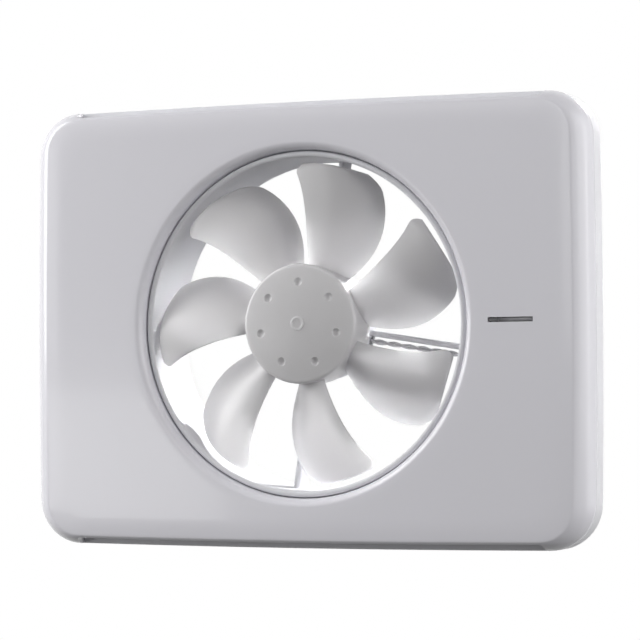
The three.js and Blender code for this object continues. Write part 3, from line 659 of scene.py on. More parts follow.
def screw_lug(x, z):
    """A round ear on the flange, with a straight arm back to the tube."""
    ear = rod("ear", x, z, LUG_RADIUS, FLANGE_FRONT, FLANGE_BACK, 56)
    reach, root = math.hypot(x, z), TUBE_OUTER - 0.5
    along, across = Vector((x, 0, z)) / reach, Vector((-z, 0, x)) / reach
    rings = []
    for y in (FLANGE_FRONT, FLANGE_BACK):
        places = [(root, LUG_RADIUS), (reach, LUG_RADIUS), (reach, -LUG_RADIUS), (root, -LUG_RADIUS)]
        rings.append([along * r + across * side + Vector((0, y, 0)) for r, side in places])
    return join(ear, loft("arm", rings))


def strut(angle):
    """One guide vane: a slim section with a round nose, run from the motor plate into the tube wall."""
    half, tail = STRUT_HALF, STRUT_TAIL
    section = bend(0, STRUT_NOSE + half, half, 0, -180, 8)
    for share, back in ((-0.55, tail - 0.3), (-0.35, tail), (0.35, tail), (0.55, tail - 0.3)):
        section.append((half * share, back))
    rings = []
    for radius in (MOTOR_PLATE - 1.5, TUBE_INNER + 1.0):
        ring = []
        for side, y in section:
            ring.append((radius * math.cos(angle) - side * math.sin(angle), y,
                         radius * math.sin(angle) + side * math.cos(angle)))
        rings.append(ring)
    return loft("strut", rings)


# ---------- impeller ----------

BLADES = 7
FIRST_BLADE = -118.6
TIP = 57.3
BLADE_Y = -6.3
CHORD, CHORD_RISE, CHORD_FALL = 15.3, 37.4, 21.3
ROOT_PITCH, TIP_PITCH = 36.6, 18.1
SWEEP_BACK, SWEEP_ON = 4.9, 16.8
CAMBER = 3.45
EDGE_THICKNESS, ADDED_THICKNESS = 0.5, 1.4
ROOT_SWELL, ROOT_SHARE = 1.3, 0.13
TIP_THINNING, TIP_SHARE = 0.6, 0.985
TIP_ROUNDING, ROUNDED_FROM = 0.25, 0.9
HUB = 21.3
HUB_WALL = 2.0
HUB_RIM = -15.4
HUB_BACK = -0.8
HUB_DOME = 2.1
HUB_ROUND = 1.3
DIMPLE_RADIUS, DIMPLE_DEPTH, DIMPLE_REACH = 1.9, 0.8, 15


def dome(radius):
    """Depth of the hub's dome at a radius."""
    return HUB_RIM - HUB_DOME * (1 - (radius / HUB) ** 2)


def hub_body():
    flat = HUB - HUB_ROUND
    profile = [(flat * i / 14, dome(flat * i / 14)) for i in range(15)]
    profile += bend(flat, profile[-1][1] + HUB_ROUND, HUB_ROUND, -90, 0, 8)[1:]
    inner = HUB - HUB_WALL
    ceiling = HUB_RIM + HUB_WALL
    profile += [(HUB, HUB_BACK - 0.2), (HUB - 0.2, HUB_BACK), (inner, HUB_BACK), (inner, ceiling),
                (0, ceiling)]
    return revolve("wheel_body", profile, 168)


def blade_section(share, root, steps=18):
    """Points round one blade section at a share of its span."""
    radius = root + (TIP - root) * share
    chord = CHORD + CHORD_RISE * share - CHORD_FALL * share * share
    if share > ROUNDED_FROM:
        chord *= 1 - TIP_ROUNDING * ((share - ROUNDED_FROM) / (1 - ROUNDED_FROM)) ** 2
    pitch = math.radians(ROOT_PITCH + (TIP_PITCH - ROOT_PITCH) * share)
    middle = math.radians(-SWEEP_BACK * share + SWEEP_ON * share * share)
    swell = 1 + ROOT_SWELL * max(0, 1 - share / ROOT_SHARE) ** 2
    swell -= TIP_THINNING * max(0, (share - TIP_SHARE) / (1 - TIP_SHARE)) ** 2
    front = [(-1 + 2 * i / steps, -1) for i in range(steps + 1)]
    back = [(1 - 2 * i / steps, 1) for i in range(steps + 1)]
    points = []
    for u, sign in front + back:
        h = sign * (EDGE_THICKNESS + ADDED_THICKNESS * (1 - u * u) ** 0.7) * swell / 2
        around = u * chord * math.cos(pitch) / 2 - h * math.sin(pitch)
        axial = u * chord * math.sin(pitch) / 2 + h * math.cos(pitch) - CAMBER * (1 - u * u)
        angle = middle - around / radius
        points.append((radius * math.cos(angle), BLADE_Y + axial, radius * math.sin(angle)))
    return points


def blade():
    """One blade, with its sections closer together at the root fillet and the rounded tip."""
    root = HUB - HUB_WALL / 2
    shares = [0, 0.02, 0.045, 0.07, 0.1]
    shares += [ROOT_SHARE + (ROUNDED_FROM - ROOT_SHARE) * i / 14 for i in range(15)]
    shares += [0.92, 0.94, 0.96, 0.975, TIP_SHARE, 0.992, 0.997, 1]
    return loft("blade", [blade_section(share, root) for share in shares])


def impeller():
    wheel = hub_body()
    join(wheel, ring_of("blades", blade(), BLADES, WHEEL_GREY, FIRST_BLADE))
    dimple_y = dome(DIMPLE_REACH) + DIMPLE_DEPTH - DIMPLE_RADIUS
    dimple = ball("dimple", 0, dimple_y, DIMPLE_REACH, DIMPLE_RADIUS)
    cut(wheel, ring_of("dimples", dimple, BLADES, WHEEL_GREY))
    top = dome(0)
    eyelet = [(1.6, top + 1), (1.6, top - 0.15), (1.75, top - 0.3), (2.0, top - 0.35), (2.3, top - 0.35),
              (2.5, top - 0.25), (2.6, top), (2.6, top + 1)]
    join(wheel, revolve("eyelet", eyelet, 64))
    return smooth(wheel, 30)


# ---------- motor ----------

CUP_RADIUS, CUP_SHEET = 19.0, 1.0
BOSS_RADIUS, BOSS_DEPTH = 3.4, 1.9
CORE_RADIUS, CORE_HUB, CORE_GAP = 14.5, 1.9, 0.3
CORE_FRONT, CORE_BACK = -10.0, -3.0
TUBE_RADIUS, TUBE_BORE = 5.2, 4.0
SHAFT_RADIUS = 1.5
SHAFT_GAP = 0.3
MAGNET_INNER, MAGNET_OUTER = 15.1, 17.7
CLIP_RADIUS = 3.0
MOTOR_BOARD_RADIUS = 13.5
SOLDER_RISE = 0.15
PADS, PAD_REACH, PAD_RADIUS = 12, 11.2, 0.8
TEETH = 6
TOOTH_WIDTH, SHOE_THICKNESS = 3.0, 1.6
COIL_INNER, COIL_OUTER = 7.75, 11.9
COIL_FRONT, COIL_BACK = -11.15, -1.85
COIL_HALF = 2.75
TURNS = 8
WIRE_RADIUS = 0.29
LEAD_RADIUS = 1.1
GASKET_INNER, GASKET_OUTER = 62.8, 70.0


def two_faced(name, face, front, back, segments):
    """A turned piece with like ends; face lists (radius, depth below the end) from the middle outward."""
    profile = [(radius, front + deep) for radius, deep in face]
    profile += [(radius, back - deep) for radius, deep in reversed(face)]
    return revolve(name, profile, segments)


def turned_ring(name, inner, outer, front, back, edge, segments=128):
    """A ring with broken edges."""
    face = [(inner, edge), (inner + edge, 0), (outer - edge, 0), (outer, edge)]
    return two_faced(name, face, front, back, segments)


def plain_ring(node, inner, outer, edge, segments=128):
    """A ring as deep as its CAD node."""
    return smooth(turned_ring(node + "_fine", inner, outer, *span(node), edge, segments))


def rotor_cup():
    front, back = span("rotor_cup")
    inner, bore, edge = CUP_RADIUS - CUP_SHEET, SHAFT_RADIUS + SHAFT_GAP, 1.0
    profile = [(bore, front), (CUP_RADIUS - edge, front)]
    profile += bend(CUP_RADIUS - edge, front + edge, edge, -75, 0, 6)
    profile += [(CUP_RADIUS, back - 0.2), (CUP_RADIUS - 0.2, back), (inner + 0.2, back), (inner, back - 0.2),
                (inner, front + CUP_SHEET), (BOSS_RADIUS, front + CUP_SHEET),
                (BOSS_RADIUS, front + BOSS_DEPTH - 0.2), (BOSS_RADIUS - 0.2, front + BOSS_DEPTH),
                (bore, front + BOSS_DEPTH)]
    return smooth(revolve("rotor_cup_fine", profile, 144))


def stator_core():
    tube, hub_outer = TUBE_RADIUS + CORE_GAP, TUBE_RADIUS + CORE_HUB
    core = turned_ring("stator_fine", tube, hub_outer, CORE_FRONT, CORE_BACK, 0.05, 96)
    tooth = block("tooth", (hub_outer - 0.5, CORE_FRONT, -TOOTH_WIDTH / 2),
                  (CORE_RADIUS - 0.6, CORE_BACK, TOOTH_WIDTH / 2))
    half = 180 / TEETH - 5
    section = bend(0, 0, CORE_RADIUS, -half, half, 20)
    section += bend(0, 0, CORE_RADIUS - SHOE_THICKNESS, half, -half, 20)
    shoe = loft("shoe", [[(x, y, z) for x, z in section] for y in (CORE_FRONT, CORE_BACK)])
    join(core, ring_of("teeth", join(tooth, shoe), TEETH, LAMINATION))
    return smooth(core, 25)


def coil():
    """Turns of wire wound round one tooth."""
    parts = []
    for i in range(TURNS):
        x = COIL_INNER + (COIL_OUTER - COIL_INNER) * i / (TURNS - 1)
        path = []
        for y, z, start in ((COIL_BACK - 1, COIL_HALF - 1, 0), (COIL_FRONT + 1, COIL_HALF - 1, 90),
                            (COIL_FRONT + 1, 1 - COIL_HALF, 180), (COIL_BACK - 1, 1 - COIL_HALF, 270)):
            path += [Vector((x, *place)) for place in bend(y, z, 1, start, start + 90, 5)]
        parts.append(swept("turn", path, WIRE_RADIUS, 8, closed=True))
    return merged("coil", parts)


def windings():
    return smooth(ring_of("windings", coil(), TEETH, COPPER), 60)


def bearing(node):
    """A ball bearing with its shields a little below the two races."""
    inner, outer = SHAFT_RADIUS + SHAFT_GAP, TUBE_BORE - 0.3
    race, shield, slope = 0.5, 0.25, 0.08
    face = [(inner, 0), (inner + race, 0), (inner + race + slope, shield), (outer - race - slope, shield),
            (outer - race, 0), (outer - 0.1, 0), (outer, 0.1)]
    return smooth(two_faced(node + "_fine", face, *span(node), 64))


def rotor_shaft():
    face = [(0, 0), (SHAFT_RADIUS - 0.3, 0), (SHAFT_RADIUS, 0.3)]
    return smooth(two_faced("rotor_shaft_fine", face, *span("rotor_shaft"), 48))


def motor_board():
    front, back = span("motor_board")
    sheet_back = back - SOLDER_RISE
    bore = TUBE_RADIUS + CORE_GAP
    board = turned_ring("motor_board_fine", bore, MOTOR_BOARD_RADIUS, front, sheet_back, 0.05)
    dot = [(0, sheet_back - 0.15), (PAD_RADIUS, sheet_back - 0.15), (PAD_RADIUS - 0.1, back), (0, back)]
    pad = moved(revolve("pad", dot, 24), PAD_REACH, 0, 0)
    return smooth(join(board, ring_of("pads", pad, PADS, BOARD_GREEN)))


def motor_cap():
    front, back = span("motor_cap")
    outer, flat = box_mm("motor_cap")[1].x, 4.7
    profile = [(0, front), (outer - 0.2, front), (outer, front + 0.2), (outer, back - 1.0),
               (outer - 0.4, back - 0.7)]
    for i in range(9):
        share = 1 - i / 8
        profile.append((flat + (outer - flat - 0.8) * share, back - 0.62 * share ** 1.5))
    return smooth(revolve("motor_cap_fine", profile + [(0, back)], 96))


def curve_point(points, k, t):
    """A point on the smooth curve through the points, between points k and k + 1."""
    first = points[0] * 2 - points[1] if k == 0 else points[k - 1]
    last = points[-1] * 2 - points[-2] if k + 2 >= len(points) else points[k + 2]
    p = [first, points[k], points[k + 1], last]
    d = [math.sqrt((p[i + 1] - p[i]).length) for i in range(3)]
    start = (p[1] - p[0]) / d[0] - (p[2] - p[0]) / (d[0] + d[1]) + (p[2] - p[1]) / d[1]
    end = (p[2] - p[1]) / d[1] - (p[3] - p[1]) / (d[1] + d[2]) + (p[3] - p[2]) / d[2]
    t0, t1 = start * d[1], end * d[1]
    return (p[1] + t0 * t + (-3 * p[1] + 3 * p[2] - 2 * t0 - t1) * t * t
            + (2 * p[1] - 2 * p[2] + t0 + t1) * t * t * t)


def lead_route(steps=12):
    """The lead's centre line: along a strut, out through the tube, forward to the board's socket."""
    angle = math.radians(STRUT_ANGLE)
    offset, outside = 2.9, TUBE_OUTER + LEAD_RADIUS + 0.6
    depth = 5.6
    stations = [(11, depth), (24, depth), (TUBE_INNER - 8, depth), (TUBE_INNER - 1.9, depth - 2.2),
                (TUBE_OUTER - 0.6, 0.2), (outside, -2.4), (outside, -6.4), (outside + 2, -8.2)]
    points = []
    for r, y in stations:
        points.append(Vector((r * math.cos(angle) + offset * math.sin(angle), y,
                              r * math.sin(angle) - offset * math.cos(angle))))
    socket = middle_of("lead_socket")
    points.append(Vector((box_mm("lead_socket")[0].x + 1, socket.y, socket.z)))
    route = []
    for k in range(len(points) - 1):
        route += [curve_point(points, k, t / steps) for t in range(steps)]
    return route + [points[-1]]


def motor_lead():
    """Two insulated wires twisted round each other."""
    route = lead_route(16)
    radius, shift, twist_length = 0.5, 0.53, 11
    wires = []
    for phase in (0, math.pi):
        path, travelled, normal = [], 0.0, None
        for i, point in enumerate(route):
            ahead = route[min(i + 1, len(route) - 1)]
            behind = route[max(i - 1, 0)]
            tangent = (ahead - behind).normalized()
            normal = tangent.orthogonal() if normal is None else normal
            normal = (normal - tangent * normal.dot(tangent)).normalized()
            twist = phase + travelled * 2 * math.pi / twist_length
            path.append(point + (normal * math.cos(twist) + tangent.cross(normal) * math.sin(twist)) * shift)
            travelled += (ahead - point).length
        wires.append(swept("wire", path, radius, 10))
    return smooth(merged("motor_lead_pair", wires), 50)


def wall_gasket():
    ring = turned_ring("wall_gasket_fine", GASKET_INNER, GASKET_OUTER, *span("wall_gasket"), 0.3, 192)
    return smooth(cut(ring, lead_way(clearance=0.6)))


# ---------- control board side ----------

SHANK_RADIUS, HEAD_RADIUS, HEAD_HEIGHT = 1.0, 2.7, 1.5
RECESS_LENGTH, RECESS_WIDTH, RECESS_FLOOR = 3.0, 0.5, -0.8
THREAD_RADIUS, THREAD_SECTION, THREAD_START = 1.05, 0.24, 0.35
THREAD_PITCH, THREAD_STEPS = 0.7, 16
LENS_RISE = 1.2
SLITS, SLIT_HEIGHT, SLIT_MARGIN, SLIT_DEPTH = 4, 0.56, 1.2, 0.8
POCKET_HEIGHT, POCKET_DEPTH, POCKET_WALL = 4.6, 2.2, 0.6
TERMINALS = 3
WELL_RISE, WELL_RADIUS, WELL_DEPTH = 1.6, 1.9, 3.2
ENTRY_WIDTH, ENTRY_FRONT, ENTRY_BACK, ENTRY_REACH = 3.0, 1.4, 4.0, 2.5
CABLE_RADIUS = 3.4
GROMMET_NECK, GROMMET_TAIL = 6.0, 4.4
CLIP_SHEET = 0.6
WINDOW_RIM, WINDOW_MARGIN = 1.2, 1.8


def pan_screw(length):
    """A pan-head screw along +Y with its head seated at y = 0: cross recess and a running thread."""
    profile = [(0, -HEAD_HEIGHT), (1.0, -1.48), (1.7, -1.35), (2.3, -1.05), (2.6, -0.7), (HEAD_RADIUS, -0.35),
               (HEAD_RADIUS, 0), (SHANK_RADIUS, 0), (SHANK_RADIUS, length - 0.5), (0.5, length), (0, length)]
    body = revolve("screw", profile, 32)
    for width, height in ((RECESS_LENGTH, RECESS_WIDTH), (RECESS_WIDTH, RECESS_LENGTH)):
        low = (-width / 2, -HEAD_HEIGHT - THROUGH, -height / 2)
        cut(body, block("recess", low, (width / 2, RECESS_FLOOR, height / 2)))
    path = []
    for i in range(int((length - 0.9) / THREAD_PITCH * THREAD_STEPS)):
        angle, y = 2 * math.pi * i / THREAD_STEPS, THREAD_START + THREAD_PITCH * i / THREAD_STEPS
        path.append(Vector((THREAD_RADIUS * math.cos(angle), y, THREAD_RADIUS * math.sin(angle))))
    return merged("screw", [body, swept("thread", path, THREAD_SECTION, 6)])


def screws(name):
    """All screws of one length, in the places that their CAD nodes have."""
    nodes = SCREWS[name]
    front, back = span(nodes[0])
    source = pan_screw(back - front - HEAD_HEIGHT)
    places = [(middle_of(node).x, span(node)[0] + HEAD_HEIGHT, middle_of(node).z) for node in nodes]
    return smooth(copies(name, source, places, STEEL), 40)


def inside_box(node, edge=0.3, segments=2):
    """A block with rounded edges that fills a CAD node's box."""
    return beveled(block(node + "_fine", *box_mm(node)), edge, segments)


def stood_up(obj):
    """Turns a piece made along Y to stand along Z."""
    obj.data.transform(Matrix.Rotation(math.pi / 2, 4, "X"))
    return obj


def control_board():
    low, high = box_mm("control_board")
    board = block("control_board_fine", low, high)
    for x, z in board_holes():
        cut(board, rod("hole", x, z, SCREW_HOLE, low.y - THROUGH, high.y + THROUGH, 32))
    return smooth(board)


def capacitor():
    low, high = box_mm("capacitor")
    radius, length = (high.x - low.x) / 2, high.z - low.z
    profile = [(0, 0.25), (radius - 0.9, 0.25), (radius - 0.7, 0), (radius - 0.3, 0), (radius, 0.35),
               (radius, length - 1.9), (radius - 0.35, length - 1.6), (radius - 0.35, length - 1.3),
               (radius, length - 1.0), (radius, length - 0.4), (radius - 0.4, length), (0, length)]
    can = stood_up(revolve("capacitor_fine", profile, 56))
    middle = middle_of("capacitor")
    return smooth(moved(can, middle.x, middle.y, low.z))


def indicator_lamp():
    low, high = box_mm("indicator_lamp")
    middle, half = middle_of("indicator_lamp"), (high.z - low.z) / 2
    body = beveled(block("indicator_lamp_fine", (low.x, low.y + LENS_RISE, low.z), high), 0.15)
    return smooth(join(body, ball("lens", middle.x, low.y + half, middle.z, half * 0.98, 16, 32)))


def humidity_sensor():
    """A small housing with air slits in its face."""
    body = inside_box("humidity_sensor", 0.4)
    low, high = box_mm("humidity_sensor")
    for i in range(SLITS):
        z = low.z + (high.z - low.z) * (i + 1) / (SLITS + 1)
        slit_low = (low.x + SLIT_MARGIN, low.y - THROUGH, z - SLIT_HEIGHT / 2)
        slit_high = (high.x - SLIT_MARGIN, low.y + SLIT_DEPTH, z + SLIT_HEIGHT / 2)
        cut(body, block("slit", slit_low, slit_high))
    return smooth(body)


def lead_socket():
    low, high = box_mm("lead_socket")
    z = middle_of("lead_socket").z
    pocket = block("pocket", (low.x - THROUGH, low.y + POCKET_WALL, z - POCKET_HEIGHT / 2),
                   (low.x + POCKET_DEPTH, high.y - POCKET_WALL, z + POCKET_HEIGHT / 2))
    return smooth(cut(inside_box("lead_socket", 0.25), pocket))


def terminal_ways():
    """Middle of each terminal's screw, in X."""
    low, high = box_mm("terminal_block")
    return [low.x + (high.x - low.x) / TERMINALS * (i + 0.5) for i in range(TERMINALS)]


def terminal_block():
    body = inside_box("terminal_block", 0.35)
    low = box_mm("terminal_block")[0]
    well_z = middle_of("terminal_block").z + WELL_RISE
    for x in terminal_ways():
        cut(body, rod("well", x, well_z, WELL_RADIUS, low.y - THROUGH, low.y + WELL_DEPTH, 40))
        entry = block("wire_entry", (x - ENTRY_WIDTH / 2, low.y + ENTRY_FRONT, low.z - 2 * THROUGH),
                      (x + ENTRY_WIDTH / 2, low.y + ENTRY_BACK, low.z + ENTRY_REACH))
        cut(body, beveled(entry, 0.3))
    return smooth(body)


def terminal_screws():
    front, back = span("terminal_screw_1")
    profile = [(0, front), (1.4, front), (1.6, front + 0.2), (1.6, back), (0, back)]
    head = revolve("terminal_head", profile, 40)
    cut(head, block("slit", (-2, front - THROUGH, -0.3), (2, front + 0.7, 0.3)))
    z = middle_of("terminal_screw_1").z
    return smooth(copies("terminal_screws", head, [(x, 0, z) for x in terminal_ways()], BRASS))


def cable_grommet():
    low, high = box_mm("cable_grommet")
    middle = middle_of("cable_grommet")
    seat, brim = PLATE_FRONT - 0.3, (high.x - low.x) / 2
    profile = [(CABLE_RADIUS, low.y + 0.3), (3.7, low.y), (4.3, low.y), (4.6, low.y + 0.3),
               (5.4, low.y + 0.9), (brim - 0.4, seat - 1), (brim, seat - 0.6), (brim, seat - 0.15),
               (brim - 0.15, seat), (GROMMET_NECK, seat), (GROMMET_NECK, high.y), (GROMMET_TAIL, high.y),
               (GROMMET_TAIL, PLATE_FRONT), (CABLE_RADIUS, PLATE_FRONT - 0.8)]
    return smooth(moved(revolve("cable_grommet_fine", profile, 72), middle.x, 0, middle.z), 40)


def cable_clamp():
    low, high = box_mm("cable_clamp")
    middle = middle_of("cable_clamp")
    saddle = stood_up(rod("saddle", 0, 0, CABLE_RADIUS, -6, 6, 64))
    bar = cut(inside_box("cable_clamp", 0.45, 3), moved(saddle, middle.x, high.y + 2, middle.z))
    for side in (-CLAMP_SCREW_X, CLAMP_SCREW_X):
        cut(bar, rod("hole", middle.x + side, middle.z, SCREW_HOLE, low.y - THROUGH, high.y + THROUGH, 32))
    return smooth(bar)


def spring_clips():
    """Four bent sheet clips that take the cover's tongues."""
    nodes = numbered("spring_clip", 4)
    low, high = box_mm(nodes[0])
    half_width, outer = (high.x - low.x) / 2, (high.z - low.z) / 2
    inner, front, turn = outer - CLIP_SHEET, low.y, high.y - 1
    bend_outer, bend_inner = 1, 1 - CLIP_SHEET
    section = [(-outer, front + 0.2)]
    section += bend(bend_outer - outer, turn, bend_outer, 180, 90, 6)
    section += bend(outer - bend_outer, turn, bend_outer, 90, 0, 6)
    section += [(outer, front + 0.2), (outer - 0.2, front), (inner, front + 0.3)]
    section += bend(inner - bend_inner, turn, bend_inner, 0, 90, 4)
    section += bend(bend_inner - inner, turn, bend_inner, 90, 180, 4)
    section += [(-inner, front + 0.3), (-outer + 0.2, front)]
    source = loft("clip", [[(x, y, z) for z, y in section] for x in (-half_width, half_width)])
    places = [(middle_of(node).x, 0, middle_of(node).z) for node in nodes]
    return smooth(copies("spring_clips", source, places, STEEL), 30)


def indicator_window():
    """A dark strip that fills the cover's slot, with a wider plate behind the wall."""
    low, high = box_mm("indicator_window")
    middle = middle_of("indicator_window")
    strip = block("indicator_strip", (low.x + WINDOW_MARGIN, low.y, low.z + WINDOW_MARGIN),
                  (high.x - WINDOW_MARGIN, high.y - WINDOW_RIM / 2, high.z - WINDOW_MARGIN))
    plate = block("plate", (low.x, high.y - WINDOW_RIM, low.z), high)
    window = join(beveled(strip, 0.12), beveled(plate, 0.15))
    return smooth(moved(window, SLOT_X - middle.x, 0, SLOT_Z - middle.z))


# ---------- materials ----------

def new_node(owner, kind, values=None, sources=None):
    """A new node in a material or world: values set its inputs, and sources feed them."""
    node = owner.node_tree.nodes.new(kind)
    for socket, value in (values or {}).items():
        node.inputs[socket].default_value = value
    for socket, source in (sources or {}).items():
        owner.node_tree.links.new(source, node.inputs[socket])
    return node


def on_object(made, kind, values=None):
    """A new node that reads object coordinates."""
    where = new_node(made, "ShaderNodeTexCoord")
    return new_node(made, kind, values, {"Vector": where.outputs["Object"]})


def shader_of(made):
    return made.node_tree.nodes["Principled BSDF"]


def fed(made, socket, source):
    """The material, with one of its shader's sockets fed by a node."""
    made.node_tree.links.new(source, shader_of(made).inputs[socket])
    return made


def material(name, color, roughness, metallic=0.0, coat=0.0):
    made = bpy.data.materials.new(name)
    made.use_nodes = True
    for socket, value in (("Base Color", (*color, 1)), ("Roughness", roughness), ("Metallic", metallic),
                          ("Coat Weight", coat), ("Coat Roughness", 0.06)):
        shader_of(made).inputs[socket].default_value = value
    return made


def object_noise(made, scale, stretch=(1, 1, 1), detail=3.0):
    """A noise texture on object coordinates, its scale in repeats per metre."""
    mapping = on_object(made, "ShaderNodeMapping", {"Scale": stretch})
    return new_node(made, "ShaderNodeTexNoise", {"Scale": scale, "Detail": detail},
                    {"Vector": mapping.outputs["Vector"]})


def bump(made, height, strength, distance):
    """Raises a fine relief by a height, with the distance in metres."""
    relief = new_node(made, "ShaderNodeBump", {"Strength": strength, "Distance": distance},
                      {"Height": height})
    return fed(made, "Normal", relief.outputs["Normal"])


def vary_roughness(made, noise, low, high):
    range_node = new_node(made, "ShaderNodeMapRange", {"To Min": low, "To Max": high},
                          {"Value": noise.outputs["Fac"]})
    return fed(made, "Roughness", range_node.outputs["Result"])


def two_tones(made, factor, first, second, low, high):
    """Colours the surface from one tone to another along a factor."""
    ramp = new_node(made, "ShaderNodeValToRGB", sources={"Fac": factor})
    for stop, position, tone in zip(ramp.color_ramp.elements, (low, high), (first, second)):
        stop.position = position
        stop.color = (*tone, 1)
    return fed(made, "Base Color", ramp.outputs["Color"])


def smoked_strip(name, dark, pale):
    """Smoked plastic, darkest at its left end, that lets a light guide show faintly through the rest."""
    made = material(name, dark, 0.22, coat=0.3)
    axes = on_object(made, "ShaderNodeSeparateXYZ")
    ends = {"From Min": (SLOT_X - SLOT_LENGTH / 2) * MM, "From Max": (SLOT_X + SLOT_LENGTH / 2) * MM}
    share = new_node(made, "ShaderNodeMapRange", ends, {"Value": axes.outputs["X"]})
    return two_tones(made, share.outputs["Result"], dark, pale, 0.2, 0.5)


def plastic(name, color, roughness, coat=0.0, grain=0.05):
    """Moulded plastic: a faint grain, and a finish that varies a little over the surface."""
    made = material(name, color, roughness, coat=coat)
    vary_roughness(made, object_noise(made, 30), roughness - 0.04, roughness + 0.04)
    return bump(made, object_noise(made, 2200).outputs["Fac"], grain, 0.0001)


def translucent(made, weight, depth):
    """Lets light sink in to a depth in metres, so that thin parts glow a little when lit from behind."""
    for socket, value in (("Weight", weight), ("Radius", (1, 1, 1)), ("Scale", depth)):
        shader_of(made).inputs["Subsurface " + socket].default_value = value
    return made


def metal(name, color, stretch):
    """Metal with fine marks drawn along one direction."""
    roughness = 0.3
    made = material(name, color, roughness, metallic=1.0)
    marks = object_noise(made, 900, stretch, 5.0)
    vary_roughness(made, marks, roughness - 0.08, roughness + 0.12)
    return bump(made, marks.outputs["Fac"], 0.12, 0.0001)


def laminated_steel():
    """Thin sheets stacked along the axis."""
    made = material("lamination", (0.42, 0.43, 0.45), 0.45, metallic=1.0)
    wave = on_object(made, "ShaderNodeTexWave", {"Scale": 320})
    wave.bands_direction = "Y"
    two_tones(made, wave.outputs["Fac"], (0.2, 0.2, 0.21), (0.42, 0.43, 0.45), 0.1, 0.4)
    return bump(made, wave.outputs["Fac"], 0.5, 0.0001)


def solder_mask():
    """Green mask over square copper areas."""
    made = material("board_green", (0.03, 0.22, 0.11), 0.35, coat=0.5)
    areas = on_object(made, "ShaderNodeTexVoronoi", {"Scale": 260})
    areas.distance = "CHEBYCHEV"
    two_tones(made, areas.outputs["Distance"], (0.036, 0.25, 0.122), (0.03, 0.21, 0.103), 0.38, 0.42)
    return bump(made, areas.outputs["Distance"], 0.15, 0.00005)


def foam():
    made = material("foam_grey", (0.08, 0.08, 0.09), 0.95)
    cells = on_object(made, "ShaderNodeTexVoronoi", {"Scale": 1400})
    two_tones(made, cells.outputs["Distance"], (0.05, 0.05, 0.055), (0.1, 0.1, 0.11), 0.1, 0.7)
    return bump(made, cells.outputs["Distance"], 0.8, 0.0003)


COVER_WHITE = plastic("cover_gloss_white", (0.84, 0.83, 0.88), 0.24, coat=0.25, grain=0.02)
FRAME_WHITE = plastic("frame_white", (0.82, 0.82, 0.85), 0.42)
DUCT_WHITE = plastic("duct_white", (0.80, 0.80, 0.83), 0.6)
WHEEL_GREY = translucent(plastic("impeller_grey", (0.68, 0.67, 0.68), 0.34), 0.7, 0.0052)
SMOKED = smoked_strip("smoked_window", (0.012, 0.012, 0.016), (0.2, 0.2, 0.215))
DARK_PLASTIC = plastic("dark_plastic", (0.04, 0.04, 0.05), 0.45, grain=0.15)
TERMINAL_GREY = plastic("terminal_grey", (0.55, 0.56, 0.53), 0.42)
STEEL = metal("steel", (0.62, 0.63, 0.65), (1, 0.1, 1))
BRASS = metal("brass", (0.72, 0.58, 0.32), (1, 0.1, 1))
COPPER = metal("copper_wire", (0.62, 0.27, 0.12), (1, 1, 1))
FERRITE = plastic("ferrite", (0.08, 0.08, 0.09), 0.7, grain=0.4)
LAMINATION = laminated_steel()
BOARD_GREEN = solder_mask()
RUBBER = plastic("rubber_black", (0.03, 0.03, 0.03), 0.75, grain=0.3)
LEAD_GREY = plastic("lead_grey", (0.70, 0.70, 0.72), 0.5, grain=0.1)
FOAM = foam()


def dress(obj, made):
    obj.data.materials.clear()
    obj.data.materials.append(made)


# ---------- pieces: each with its finish and the CAD nodes that it stands for ----------

COVER_PIECES = [
    (front_cover(), COVER_WHITE, "front_cover"),
    (indicator_window(), SMOKED, "indicator_window"),
]
ROTOR_PIECES = [
    (impeller(), WHEEL_GREY, "impeller"),
    (rotor_cup(), STEEL, "rotor_cup"),
    (plain_ring("ring_magnet", MAGNET_INNER, MAGNET_OUTER, 0.3), FERRITE, "ring_magnet"),
    (rotor_shaft(), STEEL, "rotor_shaft"),
    (plain_ring("shaft_clip", SHAFT_RADIUS + SHAFT_GAP, CLIP_RADIUS, 0.08, 48), STEEL, "shaft_clip"),
]
FRAME_PIECES = [
    (base_frame(), FRAME_WHITE, "base_frame"),
    (duct_tube(), DUCT_WHITE, "duct_tube"),
    (wall_gasket(), FOAM, "wall_gasket"),
    (plain_ring("bearing_tube", TUBE_BORE, TUBE_RADIUS, 0.25, 72), BRASS, "bearing_tube"),
    (bearing("front_bearing"), STEEL, "front_bearing"),
    (bearing("rear_bearing"), STEEL, "rear_bearing"),
    (stator_core(), LAMINATION, "stator_core"),
    (windings(), COPPER, *numbered("winding", TEETH)),
    (motor_board(), BOARD_GREEN, "motor_board"),
    (motor_cap(), DUCT_WHITE, "motor_cap"),
    (motor_lead(), LEAD_GREY, "motor_lead"),
    *[(screws(name), STEEL, *nodes) for name, nodes in SCREWS.items()],
    (control_board(), BOARD_GREEN, "control_board"),
    (smooth(inside_box("power_module", 0.5, 3)), DARK_PLASTIC, "power_module"),
    (capacitor(), DARK_PLASTIC, "capacitor"),
    (indicator_lamp(), TERMINAL_GREY, "indicator_lamp"),
    (humidity_sensor(), TERMINAL_GREY, "humidity_sensor"),
    (lead_socket(), TERMINAL_GREY, "lead_socket"),
    (terminal_block(), TERMINAL_GREY, "terminal_block"),
    (terminal_screws(), BRASS, *numbered("terminal_screw", TERMINALS)),
    (cable_grommet(), RUBBER, "cable_grommet"),
    (cable_clamp(), DARK_PLASTIC, "cable_clamp"),
    (spring_clips(), STEEL, *numbered("spring_clip", 4)),
]

for body, pieces in (("cover", COVER_PIECES), ("rotor", ROTOR_PIECES), ("frame", FRAME_PIECES)):
    for piece, finish, *nodes in pieces:
        dress(piece, finish)
        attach(piece, body)
        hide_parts(*nodes)


# ---------- studio ----------

